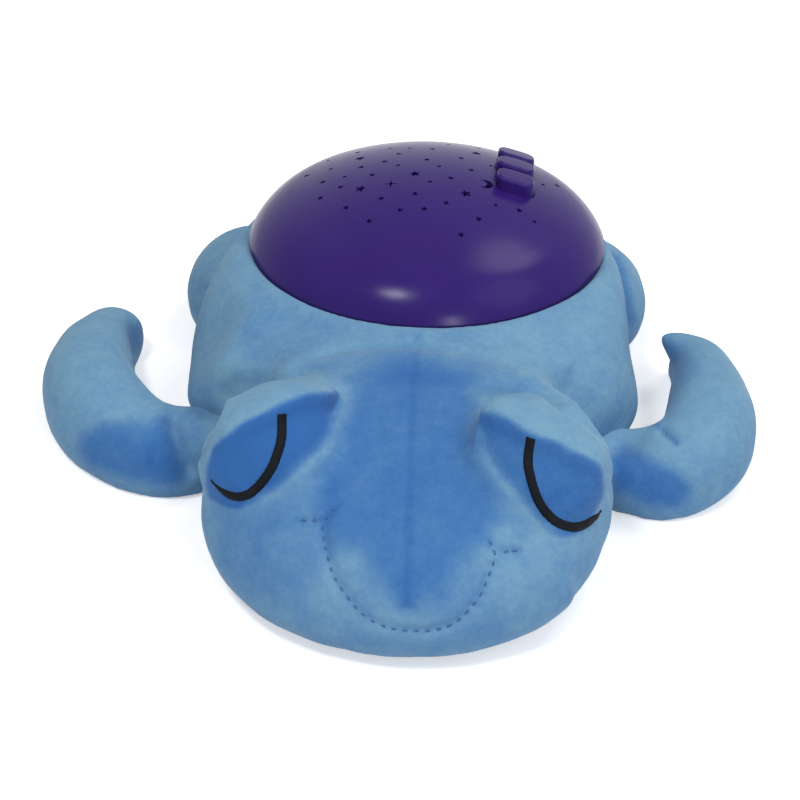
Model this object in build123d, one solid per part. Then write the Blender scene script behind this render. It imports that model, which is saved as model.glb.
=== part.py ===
from build123d import *
import os
from math import asin, cos, degrees, hypot, pi, radians, sin, sqrt, tan

# A stuffed turtle that lies on its belly, with a star projector as its shell.
# Millimetres, +Z up. The head points to -Y, and X = Y = 0 is the dome's axis.
# Z = 0 is the plane that the turtle lies on, and the case's underside is in it.

# Clearances
cut_overrun = 2.0
case_gap = 0.3
slide_gap = 0.3
door_gap = 0.3
cell_gap = 0.2
thread_gap = 0.05
screw_hole_gap = 0.25

# Dome shell
dome_diameter = 140.0
dome_height = 28.0
dome_wall = 2.0
dome_knuckle = 32.0
dome_slant = 25.0
rim_height = 62.0

# Holes in the dome: their places are in shares of the dome's radius, to the right of its axis and behind it
star_size = 2.4
small_star_size = 1.5
spark_size = 3.0
dot_radius = 0.8
star_waist_share = 0.5
spark_waist_share = 0.2
star_turn = 41.0
dot_place_shares = (
    (-0.158, 0.641), (-0.129, 0.392), (-0.243, 0.422), (0.088, 0.552), (-0.603, 0.406), (-0.175, 0.084),
    (-0.563, 0.189), (0.055, 0.077), (0.341, 0.198), (-0.468, 0.017), (0.015, -0.12), (0.379, -0.258),
    (0.593, -0.298), (0.639, 0.152),
)
small_star_place_shares = (
    (0.004, 0.379), (-0.433, 0.437), (-0.184, 0.274), (0.264, 0.58), (-0.255, 0.153), (-0.02, 0.165),
    (0.171, 0.238), (-0.384, 0.111), (0.235, 0.075), (-0.703, 0.202), (-0.312, -0.018), (0.126, -0.061),
    (-0.59, 0.016), (-0.48, -0.102), (-0.061, -0.245), (-0.242, -0.279), (-0.585, -0.17), (0.111, -0.313),
    (0.509, -0.246), (-0.43, -0.321), (-0.132, -0.389), (-0.003, -0.377), (0.292, -0.407), (-0.292, -0.461),
    (0.203, -0.546), (0.722, 0.24),
)
star_place_shares = (
    (0.254, 0.39), (-0.404, 0.27), (-0.074, -0.033), (-0.365, -0.16), (0.214, -0.204),
)
spark_place_shares = (
    (-0.2, -0.141),
)
moon_place_share = (0.314, -0.066)
moon_radius = 3.2
moon_bite_share = 0.8
moon_shift_share = -0.55

# Buttons on the dome, one behind another: their place is in shares of the dome's radius
button_reach_share = 0.4829
button_set_back_share = 0.16
button_pitch = 12.8
button_width = 14.6
button_depth = 10.0
button_corner = 3.6
button_proud = 5.0
button_edge = 1.2
button_travel = 1.5
lip_overhang = 1.3
lip_thickness = 1.2
stem_diameter = 5.0
stem_length = 2.0

# Key domes under the buttons, and the board that carries them
key_height = 3.8
key_foot_radius = 4.4
key_top_radius = 3.0
key_wall = 0.8
board_thickness = 1.6
board_width = 20.0
board_margin = 1.0
post_radius = 3.2
post_spacing = 2.0

# Screws: the diameter of the thread, the head's diameter and height, the length under the head
small_screw = (2.0, 3.8, 1.4, 6.0)
case_screw = (2.9, 5.4, 2.0, 9.0)
door_screw = (2.5, 4.6, 1.4, 5.0)
screw_slot_width = 0.8
screw_slot_depth = 0.6

# Collar that the cover's hem is clamped under
hem_thickness = 1.5
hem_overhang = 0.0
hem_width = 12.5

# Case under the dome
case_inset = 12.0
case_taper = 0.5
case_wall = 2.0
case_floor = 2.5
case_corner = 2.0
flange_thickness = 2.5
flange_inset = 1.5
boss_inset = 8.5
boss_radius = 3.7
boss_count = 4

# Battery bay in the case's floor
cell_diameter = 10.5
cell_length = 44.5
cell_nub_radius = 1.9
cell_nub_length = 1.0
cell_spacing = 0.5
cell_count = 3
bay_rear_gap = 2.75
bay_wall = 1.6
bay_side_gap = 0.55
leaf_thickness = 0.4
leaf_height = 6.5
leaf_half_span = 4.0
leaf_rise = 6.65
plate_thickness = 0.4
plate_width = 8.5
plate_height = 8.0
tab_width = 3.0
tab_rise = 3.2

# Battery door
door_recess = 0.4
door_thickness = 2.0
door_margin = 2.2
door_corner = 3.0
door_ear_offset = 5.5
door_ear_radius = 4.4
door_ledge = 1.6
rim_of_door_seat = 2.4
door_rib_width = 1.2
door_rib_inset = 13.0
insert_radius = 2.3
insert_length = 4.6
insert_cover = 1.2

# Lamp in the middle of the case, just in front of the bay
lamp_gap = 8.6
pad_thickness = 3.2
pad_length = 34.0
pad_width = 16.0
pad_set_back = -7.0
foot_thickness = 2.2
foot_screw_reach = 13.0
column_radius = 4.6
lamp_height = 44.0
platform_radius = 8.0
platform_thickness = 5.0
lamp_board_radius = 13.5
lamp_screw_reach = 5.6
led_radius = 2.5
led_collar_radius = 2.9
led_collar_height = 1.0
led_body_height = 5.6
led_circle = 5.8
led_count = 3

# Leads inside the case
lead_diameter = 1.3
control_lead_diameter = 1.4
bend_share = 0.45
lamp_lead_reach = 10.6
lamp_lead_offset = 4.5
control_lead_rise_shares = (0.232, 0.451, 0.549, 0.768)

# Stuffed body: height, half-width, front, rear, shift, waist and rear fullness, as shares of the sizes here
body_half_width = 83.5
body_shift = -4.0
body_front = 91.0
body_rear = 79.0
body_waist = 24.0
body_fullness = 3.2
body_rear_fullness = 2.0
body_section_shares = (
    (0.00, 0.81, 0.80, 0.86, 0.5, 0.5, 1.00),
    (0.08, 0.91, 0.90, 0.94, 0.8, 0.8, 0.94),
    (0.28, 1.00, 1.00, 0.98, 1.0, 1.0, 0.86),
    (0.55, 1.00, 1.00, 0.98, 1.0, 1.0, 0.86),
    (0.80, 0.965, 0.94, 0.97, 0.7, 0.7, 0.88),
    (0.93, 0.92, 0.88, 0.955, 0.3, 0.3, 0.94),
    (1.00, 0.885, 0.82, 0.935, 0.0, 0.0, 1.00),
)

# Stuffed head: height, half-width, front and rear, as shares of the sizes here
head_half_width = 70.0
head_shift = 0.5
head_reach = 190.5
head_root = 74.0
head_drop = 0.5
head_fullness = 2.05
head_rear_fullness = 3.8
head_section_shares = (
    (0.00, 0.74, 0.915, 1.00),
    (0.09, 0.88, 0.975, 1.00),
    (0.25, 0.97, 1.000, 1.00),
    (0.45, 1.00, 0.988, 1.00),
    (0.65, 0.96, 0.935, 1.00),
    (0.82, 0.85, 0.845, 0.98),
    (0.93, 0.69, 0.735, 0.98),
    (1.00, 0.44, 0.615, 1.02),
)

# Front flippers: a path in plan with half-widths and heights, as shares of the sizes here
front_flipper_height = 38.0
front_flipper_half_width = 20.0
front_flipper_fullness = 2.3
left_flipper_reach = 130.0
left_flipper_front = 80.0
left_flipper_shares = (
    (0.32, -0.62, 0.70, 0.66),
    (0.50, -0.92, 0.78, 0.68),
    (0.68, -1.04, 0.84, 0.72),
    (0.84, -0.98, 0.92, 0.86),
    (0.96, -0.74, 0.94, 0.95),
    (1.00, -0.40, 0.82, 0.86),
    (0.98, -0.08, 0.61, 0.68),
    (0.945, 0.10, 0.24, 0.34),
)
right_flipper_reach = 111.0
right_flipper_front = 84.0
right_flipper_shares = (
    (0.36, -0.62, 0.70, 0.66),
    (0.55, -0.86, 0.78, 0.68),
    (0.71, -0.97, 0.82, 0.72),
    (0.86, -0.98, 0.86, 0.82),
    (0.97, -0.85, 0.88, 0.92),
    (1.01, -0.64, 0.86, 0.94),
    (1.00, -0.36, 0.70, 0.86),
    (0.95, -0.08, 0.50, 0.68),
    (0.90, 0.09, 0.20, 0.34),
)
flipper_sit_share = 0.42

# Rear flippers: height, half-width and half-depth, as shares of the sizes here
rear_flipper_height = 38.0
rear_flipper_half_width = 32.0
rear_flipper_half_depth = 38.0
rear_flipper_fullness = 2.2
left_rear_reach = 71.5
left_rear_set_back = 33.0
right_rear_reach = 60.0
right_rear_set_back = 37.0
rear_section_shares = (
    (0.00, 0.80, 0.80),
    (0.16, 0.94, 0.94),
    (0.42, 1.00, 1.00),
    (0.68, 0.90, 0.90),
    (0.88, 0.66, 0.66),
    (1.00, 0.32, 0.32),
)

# Eye mounds on the head: rise, half-width and half-depth, as shares of the sizes here
mound_reach = 42.0
mound_front = 129.0
mound_sink = 22.0
mound_height = 34.0
mound_half_width = 25.5
mound_half_depth = 24.0
mound_lean_front = 28.0
mound_lean_side = 12.0
mound_section_shares = (
    (0.00, 0.92, 0.92),
    (0.30, 1.00, 1.00),
    (0.58, 0.95, 0.94),
    (0.80, 0.76, 0.74),
    (0.94, 0.48, 0.46),
    (1.00, 0.22, 0.22),
)

# Stitched eyelids: points across and up the mound, as shares of the mound's half-width
lid_thickness = 0.8
lid_width = 2.8
lid_view_tilt = 33.0
left_lid_drop = 6.0
right_lid_drop = 8.5
lid_shares = (
    (-0.03, 0.37),
    (-0.06, 0.14),
    (-0.05, -0.12),
    (0.03, -0.42),
    (0.20, -0.65),
    (0.41, -0.72),
    (0.64, -0.63),
    (0.80, -0.48),
)

# Heights and radii that follow
dome_radius = dome_diameter / 2
knuckle_centre = dome_radius - dome_knuckle * cos(radians(dome_slant))
knuckle_height = rim_height - dome_knuckle * sin(radians(dome_slant))
crown_rise = rim_height + dome_height - knuckle_height
crown_radius = (knuckle_centre ** 2 + crown_rise ** 2 - dome_knuckle ** 2) / (2 * (crown_rise - dome_knuckle))
crown_centre = rim_height + dome_height - crown_radius
crown_angle = asin(knuckle_centre / (crown_radius - dome_knuckle))
dome_top = rim_height + dome_height
hem_bottom = rim_height - hem_thickness
flange_radius = dome_radius - flange_inset
flange_bottom = hem_bottom - flange_thickness
hem_outer = dome_radius + hem_overhang
hem_inner = dome_radius - hem_width
boss_circle = dome_radius - boss_inset
button_reach = dome_radius * button_reach_share
button_set_back = dome_radius * button_set_back_share
head_height = hem_bottom - head_drop
mound_base = head_height - mound_sink
case_top_radius = dome_radius - case_inset
case_bottom_radius = case_top_radius - case_taper

# The bay lies as far back as its corners have room for, and the lamp stands before it
cell_pitch = cell_diameter + cell_spacing
bay_length = cell_length + plate_thickness * 2 + leaf_rise + thread_gap
bay_width = (cell_count - 1) * cell_pitch + cell_diameter + bay_side_gap * 2
bay_half_length = bay_length / 2 + bay_wall
bay_half_width = bay_width / 2 + bay_wall
bay_rear = sqrt((case_bottom_radius - case_wall) ** 2 - bay_half_length ** 2) - bay_rear_gap
bay_centre = bay_rear - bay_half_width
lamp_y = bay_centre - bay_half_width - lamp_gap
pad_y = lamp_y + pad_set_back
door_ear_reach = bay_length / 2 + door_ear_offset


def tag(shape, node):
    export_step(shape, "parts/" + node + ".step")


def crown_at(radius, inset):
    return crown_centre + sqrt((crown_radius - inset) ** 2 - radius ** 2)


def dome_solid(inset, floor):
    radius = dome_knuckle - inset
    start = asin((rim_height - knuckle_height) / radius)
    skirt = knuckle_centre + radius * cos(start)
    crown_turn = degrees(crown_angle)
    knuckle_turn = 90 - crown_turn - degrees(start)
    edges = [
        Line((0, floor), (skirt, floor)),
        CenterArc((knuckle_centre, knuckle_height), radius, degrees(start), knuckle_turn),
        CenterArc((0, crown_centre), crown_radius - inset, 90 - crown_turn, crown_turn),
        Line((0, dome_top - inset), (0, floor)),
    ]
    if floor < rim_height:
        edges.append(Line((skirt, floor), (skirt, rim_height)))
    return revolve(Plane.XZ * make_face(edges), Axis.Z)


def spun(points):
    return revolve(Plane.XZ * make_face(Polyline(*points, close=True)), Axis.Z)


def column(x, y, bottom, top, radius):
    return Pos(x, y, bottom) * extrude(Circle(radius), top - bottom)


def block(x, y, bottom, length, width, height):
    return Pos(x, y, bottom) * extrude(Rectangle(length, width), height)


def screw(sizes, x, y, seat, head_up):
    thread, head, head_height, length = sizes
    shank = Cylinder(thread / 2, length, align=(Align.CENTER, Align.CENTER, Align.MAX))
    cap = Cylinder(head / 2, head_height, align=(Align.CENTER, Align.CENTER, Align.MIN))
    slot = Pos(0, 0, head_height) * Box(
        head * 2, screw_slot_width, screw_slot_depth * 2)
    body = shank + cap - slot
    if not head_up:
        body = Rot(180, 0, 0) * body
    return Pos(x, y, seat) * body


def bundle(solids):
    return Compound(children=list(solids))


def cord(points, diameter, name):
    places = [Vector(*point) for point in points]
    runs = [after - before for before, after in zip(places, places[1:])]
    radii = []
    for before, after in zip(runs, runs[1:]):
        turn = radians(before.get_angle(after))
        radii.append(bend_share * min(before.length, after.length) / tan(turn / 2))
    path = FilletPolyline(*places, radius=radii)
    tube = sweep(Plane(path @ 0, z_dir=path % 0) * Circle(diameter / 2), path=path)
    ratio = tube.volume / (pi * diameter ** 2 / 4 * path.length)
    print(name, "radii", [round(radius, 1) for radius in radii], "fill", round(ratio, 4))
    return tube


# Soft forms: closed outlines of eight arcs on a rounded oval, lofted one over another
arc_count = 8
loaf_arc_count = 6


def signed_power(value, power):
    return abs(value) ** power * (1 if value >= 0 else -1)


def oval(plane, half_width, low, high, fullness):
    return egg(plane, half_width, low, (low + high) / 2, high, fullness, fullness)


def egg(plane, half_width, low, waist, high, fullness, far_fullness):
    def place(angle):
        far = sin(angle) > 0
        power = 2 / (far_fullness if far else fullness)
        across = half_width * signed_power(cos(angle), power)
        along = waist + (high - waist if far else waist - low) * signed_power(sin(angle), power)
        return plane.from_local_coords(Vector(across, along, 0))

    step = 2 * pi / arc_count
    arcs = []
    for index in range(arc_count):
        start = index * step
        arcs.append(Edge.make_three_point_arc(place(start), place(start + step / 2), place(start + step)))
    return Wire(arcs)


def lofted(outlines):
    return Solid.make_loft(outlines)


def loaf(plane, half_width, height, fullness):
    # an oval cut flat where it sits
    middle = height * flipper_sit_share
    half_depth = height - middle

    def place(angle):
        across = half_width * signed_power(cos(angle), 2 / fullness)
        along = middle + half_depth * signed_power(sin(angle), 2 / fullness)
        return plane.from_local_coords(Vector(across, max(along, 0), 0))

    low = -asin((middle / half_depth) ** (fullness / 2))
    step = (pi - 2 * low) / loaf_arc_count
    arcs = []
    for index in range(loaf_arc_count):
        start = low + index * step
        arcs.append(Edge.make_three_point_arc(place(start), place(start + step / 2), place(start + step)))
    arcs.append(Edge.make_line(arcs[-1] @ 1, arcs[0] @ 0))
    return Wire(arcs)


def body_form():
    outlines = []
    for height, width, front, rear, shift, waist, fullness in body_section_shares:
        level = Plane(origin=(shift * body_shift, 0, height * hem_bottom))
        outlines.append(egg(
            level, width * body_half_width, -front * body_front, -waist * body_waist, rear * body_rear,
            body_fullness, fullness * body_rear_fullness))
    return lofted(outlines)


def head_form():
    outlines = []
    for height, width, front, rear in head_section_shares:
        level = Plane(origin=(head_shift, 0, height * head_height))
        low, high = -front * head_reach, -rear * head_root
        outlines.append(egg(
            level, width * head_half_width, low, (low + high) / 2, high, head_fullness, head_rear_fullness))
    return lofted(outlines)


def flipper_form(reach, front, shares, side):
    places = [Vector(side * reach * x, front * y, 0) for x, y, width, height in shares]
    outlines = []
    for index, (x, y, width, height) in enumerate(shares):
        before = places[max(index - 1, 0)]
        after = places[min(index + 1, len(places) - 1)]
        along = (after - before).normalized()
        across = Vector(-along.Y, along.X, 0)
        plane = Plane(origin=places[index], x_dir=across, z_dir=along)
        outlines.append(loaf(
            plane, width * front_flipper_half_width, height * front_flipper_height, front_flipper_fullness))
    return lofted(outlines)


def rear_form(reach, set_back, side):
    outlines = []
    for height, width, depth in rear_section_shares:
        level = Plane(origin=(side * reach, set_back, height * rear_flipper_height))
        half_depth = depth * rear_flipper_half_depth
        outlines.append(oval(
            level, width * rear_flipper_half_width, -half_depth, half_depth, rear_flipper_fullness))
    return lofted(outlines)


def mound_frame(side):
    return Pos(side * mound_reach, -mound_front, mound_base) * Rot(mound_lean_front, side * mound_lean_side, 0)


def mound_form(side, growth):
    outlines = []
    for rise, width, depth in mound_section_shares:
        level = Plane(origin=(0, 0, rise * (mound_height + growth)))
        half_depth = depth * mound_half_depth + growth
        outlines.append(oval(level, width * mound_half_width + growth, -half_depth, half_depth, 2))
    return mound_frame(side) * lofted(outlines)


def lid_form(side, drop, mound, head):
    points = [(side * x * mound_half_width, y * mound_half_width - drop) for x, y in lid_shares]
    band = trace(Spline(*points), line_width=lid_width)
    middle = (side * mound_reach, -mound_front, mound_base + mound_height / 2)
    view = Plane(origin=middle, x_dir=(1, 0, 0), z_dir=(0, -cos(radians(lid_view_tilt)), sin(radians(lid_view_tilt))))
    prism = extrude(view * band, mound_half_width * 2)
    return (prism & mound_form(side, lid_thickness)) - mound - head


# Case, from the table up
def cell_place(index):
    return bay_centre + (index - (cell_count - 1) / 2) * cell_pitch


door_top = door_recess + door_thickness
ledge = door_top + thread_gap * 2
bay_floor = ledge + door_ledge
cell_height = bay_floor + cell_diameter / 2
bay_roof = cell_height + cell_diameter / 2 + cell_gap
door_length = bay_length + door_margin * 2
door_width = bay_width + door_margin * 2


def door_outline(growth):
    panel = RectangleRounded(door_length + growth * 2, door_width + growth * 2, door_corner + growth)
    ears = [Pos(side * door_ear_reach, 0) * Circle(door_ear_radius + growth) for side in (-1, 1)]
    return panel + ears


def case_shell():
    outer = spun([
        (0, 0), (case_bottom_radius, 0), (case_top_radius, flange_bottom), (flange_radius, flange_bottom),
        (flange_radius, hem_bottom), (0, hem_bottom)])
    foot_edges = outer.edges().filter_by(GeomType.CIRCLE).filter_by_position(Axis.Z, -thread_gap, thread_gap)
    outer = fillet(foot_edges, case_corner)
    inner = spun([
        (0, case_floor), (case_bottom_radius - case_wall, case_floor),
        (case_top_radius - case_wall, hem_bottom + cut_overrun), (0, hem_bottom + cut_overrun)])
    seat = Pos(0, bay_centre, 0) * extrude(door_outline(door_gap + rim_of_door_seat), bay_floor)
    walls = block(0, bay_centre, 0, bay_half_length * 2, bay_half_width * 2, bay_roof + bay_wall)
    pad = block(0, pad_y, 0, pad_length, pad_width, case_floor + pad_thickness)
    towers = [
        column(side * door_ear_reach, bay_centre, 0, ledge + insert_length + insert_cover, insert_radius + bay_wall)
        for side in (-1, 1)]
    inside = (seat + walls + pad + towers) & (outer + inner)
    shell = outer - inner + inside
    shell -= Pos(0, bay_centre, -cut_overrun) * extrude(door_outline(door_gap), ledge + cut_overrun)
    shell -= block(0, bay_centre, 0, bay_length, bay_width, bay_roof)
    for side in (-1, 1):
        shell -= column(side * door_ear_reach, bay_centre, 0, ledge + insert_length, insert_radius)
    for x, y in boss_places():
        shell -= column(x, y, flange_bottom - cut_overrun, rim_height, case_screw[0] / 2 + screw_hole_gap)
    for side in (-1, 1):
        shell -= column(
            side * foot_screw_reach, pad_y, case_floor + pad_thickness - small_screw[3] + foot_thickness,
            case_floor + pad_thickness + cut_overrun, small_screw[0] / 2 + thread_gap)
    for x, y in tab_places():
        shell -= block(
            x, y, bay_roof - cut_overrun, plate_thickness + thread_gap * 2, tab_width + thread_gap * 2,
            bay_wall + cut_overrun * 2)
    return shell


def boss_places():
    return [
        (boss_circle * cos(pi / boss_count * (2 * index + 1)), boss_circle * sin(pi / boss_count * (2 * index + 1)))
        for index in range(boss_count)]


def plate_x(side):
    return side * (bay_length - plate_thickness) / 2


def tab_places():
    return [(plate_x(1), cell_place(0)), (plate_x(-1), cell_place(cell_count - 1))]


def cell_side(index):
    return 1 if index % 2 == 0 else -1


def cell_form(index):
    side = cell_side(index)
    can_length = cell_length - cell_nub_length
    can = Cylinder(cell_diameter / 2, can_length)
    nub = Pos(0, 0, can_length / 2) * Cylinder(
        cell_nub_radius, cell_nub_length, align=(Align.CENTER, Align.CENTER, Align.MIN))
    lie = Rot(0, 90, 0) if side > 0 else Rot(0, -90, 0)
    middle = side * (bay_length / 2 - plate_thickness - cell_nub_length - can_length / 2)
    return Pos(middle, cell_place(index), cell_height) * lie * (can + nub)


def plate_forms():
    plates = []
    bottom = cell_height - plate_height / 2
    for side, first, last in ((1, 0, 0), (1, 1, 2), (-1, 0, 1), (-1, 2, 2)):
        middle = (cell_place(first) + cell_place(last)) / 2
        width = cell_place(last) - cell_place(first) + plate_width
        plate = block(plate_x(side), middle, bottom, plate_thickness, width, plate_height)
        if first == last:
            top = bay_roof + bay_wall + tab_rise
            plate += block(plate_x(side), middle, cell_height, plate_thickness, tab_width, top - cell_height)
        plates.append(plate)
    return plates


def leaf_form(index):
    side = -cell_side(index)
    outside = ThreePointArc((0, -leaf_half_span), (leaf_rise, 0), (0, leaf_half_span))
    inner_span = leaf_half_span - leaf_thickness
    inside = ThreePointArc((0, inner_span), (leaf_rise - leaf_thickness, 0), (0, -inner_span))
    ends = [Line((0, leaf_half_span), (0, inner_span)), Line((0, -inner_span), (0, -leaf_half_span))]
    leaf = extrude(make_face([outside, inside] + ends), leaf_height)
    turn = Rot(0, 0, 180) if side > 0 else Rot(0, 0, 0)
    wall = side * (bay_length / 2 - plate_thickness)
    return Pos(wall, cell_place(index), cell_height - leaf_height / 2) * turn * leaf


def door_form():
    door = Pos(0, bay_centre, door_recess) * extrude(door_outline(0), door_thickness)
    rib_top = bay_floor - cell_gap
    for side in (-1, 1):
        door += block(
            side * door_rib_inset, bay_centre, door_top, door_rib_width, bay_width - door_gap * 4, rib_top - door_top)
    thread, head, head_height, length = door_screw
    for side in (-1, 1):
        door -= column(side * door_ear_reach, bay_centre, 0, ledge, thread / 2 + screw_hole_gap)
        door -= column(side * door_ear_reach, bay_centre, 0, door_recess + head_height, head / 2 + screw_hole_gap)
    return door


# Button levels: the lips hang under the dome's inside at its lowest place above them
button_offsets = [(index - 1) * button_pitch for index in range(3)]
lip_far = max(
    hypot(button_reach + button_width / 2 + lip_overhang, abs(button_set_back + offset) + button_depth / 2)
    for offset in button_offsets)
lip_top = crown_at(lip_far, dome_wall) - slide_gap
lip_bottom = lip_top - lip_thickness
stem_bottom = lip_bottom - stem_length
key_top = stem_bottom - slide_gap
board_top = key_top - key_height
post_offset = button_pitch + button_depth / 2 + post_spacing + post_radius
board_length = (post_offset + post_radius + board_margin) * 2


def button_outline(growth):
    return RectangleRounded(button_width + growth * 2, button_depth + growth * 2, button_corner + growth)


def button_form(offset):
    place = Pos(button_reach, button_set_back + offset, 0)
    prism = place * Pos(0, 0, lip_bottom) * extrude(button_outline(0), dome_top + button_proud - lip_bottom)
    limit = Pos(0, 0, crown_centre) * Sphere(crown_radius + button_proud)
    knob = prism & limit
    top_face = knob.faces().sort_by(Axis.Z)[-1]
    knob = fillet(top_face.edges(), button_edge)
    lip = place * Pos(0, 0, lip_bottom) * extrude(
        Rectangle(button_width + lip_overhang * 2, button_depth - button_corner * 2), lip_thickness)
    stem = place * Pos(0, 0, stem_bottom) * extrude(Circle(stem_diameter / 2), stem_length)
    return knob + lip + stem


def key_form(offset):
    outer = Cone(key_foot_radius, key_top_radius, key_height, align=(Align.CENTER, Align.CENTER, Align.MIN))
    inner = Cone(
        key_foot_radius - key_wall, key_top_radius - key_wall, key_height - key_wall,
        align=(Align.CENTER, Align.CENTER, Align.MIN))
    return Pos(button_reach, button_set_back + offset, board_top) * (outer - inner)


def board_screw_places():
    return [(button_reach, button_set_back + side * post_offset) for side in (-1, 1)]


def control_board_form():
    board = Pos(button_reach, button_set_back, board_top - board_thickness) * extrude(
        Rectangle(board_width, board_length), board_thickness)
    for x, y in board_screw_places():
        board -= column(x, y, 0, dome_top, small_screw[0] / 2 + screw_hole_gap)
    return board


# Holes in the dome
def pointed(points, size, waist):
    corners = []
    for index in range(points * 2):
        radius = size if index % 2 == 0 else size * waist
        angle = pi / 2 + pi * index / points
        corners.append((radius * cos(angle), radius * sin(angle)))
    return make_face(Polyline(*corners, close=True))


def star_outlines():
    kinds = [
        (Circle(dot_radius), dot_place_shares),
        (pointed(5, small_star_size, star_waist_share), small_star_place_shares),
        (pointed(5, star_size, star_waist_share), star_place_shares),
        (pointed(4, spark_size, spark_waist_share), spark_place_shares),
    ]
    outlines = []
    for outline, places in kinds:
        for index, (across, back) in enumerate(places):
            outlines.append(Pos(across * dome_radius, back * dome_radius) * Rot(0, 0, star_turn * index) * outline)
    moon = Circle(moon_radius) - Pos(moon_radius * moon_shift_share, 0) * Circle(moon_radius * moon_bite_share)
    across, back = moon_place_share
    outlines.append(Pos(across * dome_radius, back * dome_radius) * moon)
    return outlines


def dome_form():
    outer = dome_solid(0, rim_height)
    shell = outer - dome_solid(dome_wall, rim_height - cut_overrun)
    bosses = [column(x, y, rim_height, dome_top, boss_radius) for x, y in boss_places()]
    posts = [column(x, y, board_top, dome_top, post_radius) for x, y in board_screw_places()]
    shell += [boss & outer for boss in bosses]
    shell += [post & outer for post in posts]
    thread, head, head_height, length = case_screw
    for x, y in boss_places():
        shell -= column(x, y, rim_height - cut_overrun, flange_bottom + length + cut_overrun, thread / 2 + thread_gap)
    thread, head, head_height, length = small_screw
    for x, y in board_screw_places():
        top = board_top - board_thickness + length + thread_gap
        shell -= column(x, y, board_top - cut_overrun, top, thread / 2 + thread_gap)
    for offset in button_offsets:
        shell -= Pos(button_reach, button_set_back + offset, board_top) * extrude(
            button_outline(slide_gap), dome_top - board_top)
    shell -= [Pos(0, 0, rim_height) * extrude(outline, dome_height + cut_overrun) for outline in star_outlines()]
    return shell


# Lamp
lamp_board_bottom = lamp_height
lamp_board_top = lamp_board_bottom + board_thickness
foot_bottom = case_floor + pad_thickness
platform_bottom = lamp_height - platform_thickness
lamp_screw_turn = 30.0


def lamp_screw_places():
    angle = radians(lamp_screw_turn)
    return [(side * lamp_screw_reach * cos(angle), lamp_y + lamp_screw_reach * sin(angle)) for side in (-1, 1)]


def led_places():
    angles = [2 * pi * index / led_count + pi / 2 for index in range(led_count)]
    return [(led_circle * cos(angle), lamp_y + led_circle * sin(angle)) for angle in angles]


def post_form():
    post = block(0, pad_y, foot_bottom, pad_length, pad_width, foot_thickness)
    post += column(0, lamp_y, foot_bottom, lamp_height, column_radius)
    post += column(0, lamp_y, platform_bottom, lamp_height, platform_radius)
    for side in (-1, 1):
        post -= column(
            side * foot_screw_reach, pad_y, 0, foot_bottom + foot_thickness + cut_overrun,
            small_screw[0] / 2 + screw_hole_gap)
    for x, y in lamp_screw_places():
        post -= column(
            x, y, lamp_board_top - small_screw[3] - thread_gap, lamp_height + cut_overrun,
            small_screw[0] / 2 + thread_gap)
    return post


def lamp_board_form():
    board = column(0, lamp_y, lamp_board_bottom, lamp_board_top, lamp_board_radius)
    for x, y in lamp_screw_places():
        board -= column(x, y, 0, dome_top, small_screw[0] / 2 + screw_hole_gap)
    return board


def led_form(x, y):
    collar = column(x, y, lamp_board_top, lamp_board_top + led_collar_height, led_collar_radius)
    body_top = lamp_board_top + led_collar_height + led_body_height
    body = column(x, y, lamp_board_top, body_top, led_radius)
    return collar + body + Pos(x, y, body_top) * Sphere(led_radius)


# Soft pieces, the larger ones cutting the smaller
body_whole = body_form()
cavity = spun([
    (0, -cut_overrun), (case_bottom_radius + case_gap, -cut_overrun), (case_bottom_radius + case_gap, 0),
    (case_top_radius + case_gap, flange_bottom - case_screw[2] - case_gap),
    (flange_radius + case_gap, flange_bottom - case_screw[2] - case_gap),
    (flange_radius + case_gap, rim_height + cut_overrun), (0, rim_height + cut_overrun)])
head_piece = head_form() - body_whole
left_flipper = flipper_form(left_flipper_reach, left_flipper_front, left_flipper_shares, -1) - body_whole - head_piece
right_flipper = flipper_form(right_flipper_reach, right_flipper_front, right_flipper_shares, 1) - body_whole - head_piece
left_rear = rear_form(left_rear_reach, left_rear_set_back, -1) - body_whole
right_rear = rear_form(right_rear_reach, right_rear_set_back, 1) - body_whole

os.makedirs("parts", exist_ok=True)

tag(body_whole - cavity, "plush_body")
tag(head_piece, "plush_head")
tag(left_flipper, "front_flipper_left")
tag(right_flipper, "front_flipper_right")
tag(left_rear, "rear_flipper_left")
tag(right_rear, "rear_flipper_right")
for side, name, drop in ((-1, "left", left_lid_drop), (1, "right", right_lid_drop)):
    mound = mound_form(side, 0) - head_piece - body_whole
    tag(mound, "eye_mound_" + name)
    tag(lid_form(side, drop, mound, head_piece), "eyelid_stitch_" + name)

# Projector, from the dome down
tag(dome_form(), "dome_shell")
for offset, name in zip(button_offsets, ("front", "middle", "rear")):
    tag(button_form(offset), "button_" + name)
    tag(key_form(offset), "key_dome_" + name)
tag(control_board_form(), "control_board")
tag(bundle(
    screw(small_screw, x, y, board_top - board_thickness, False) for x, y in board_screw_places()),
    "control_board_screws")
hem = column(0, 0, hem_bottom, rim_height, hem_outer) - column(0, 0, 0, dome_top, hem_inner)
for x, y in boss_places():
    hem -= column(x, y, 0, dome_top, case_screw[0] / 2 + screw_hole_gap)
tag(hem, "hem_collar")
tag(case_shell(), "base_case")
tag(bundle(screw(case_screw, x, y, flange_bottom, False) for x, y in boss_places()), "case_screws")
tag(post_form(), "lamp_post")
tag(bundle(
    screw(small_screw, side * foot_screw_reach, pad_y, foot_bottom + foot_thickness, True)
    for side in (-1, 1)), "lamp_post_screws")
tag(lamp_board_form(), "lamp_board")
tag(bundle(screw(small_screw, x, y, lamp_board_top, True) for x, y in lamp_screw_places()), "lamp_board_screws")
tag(bundle(led_form(x, y) for x, y in led_places()), "leds")

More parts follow.
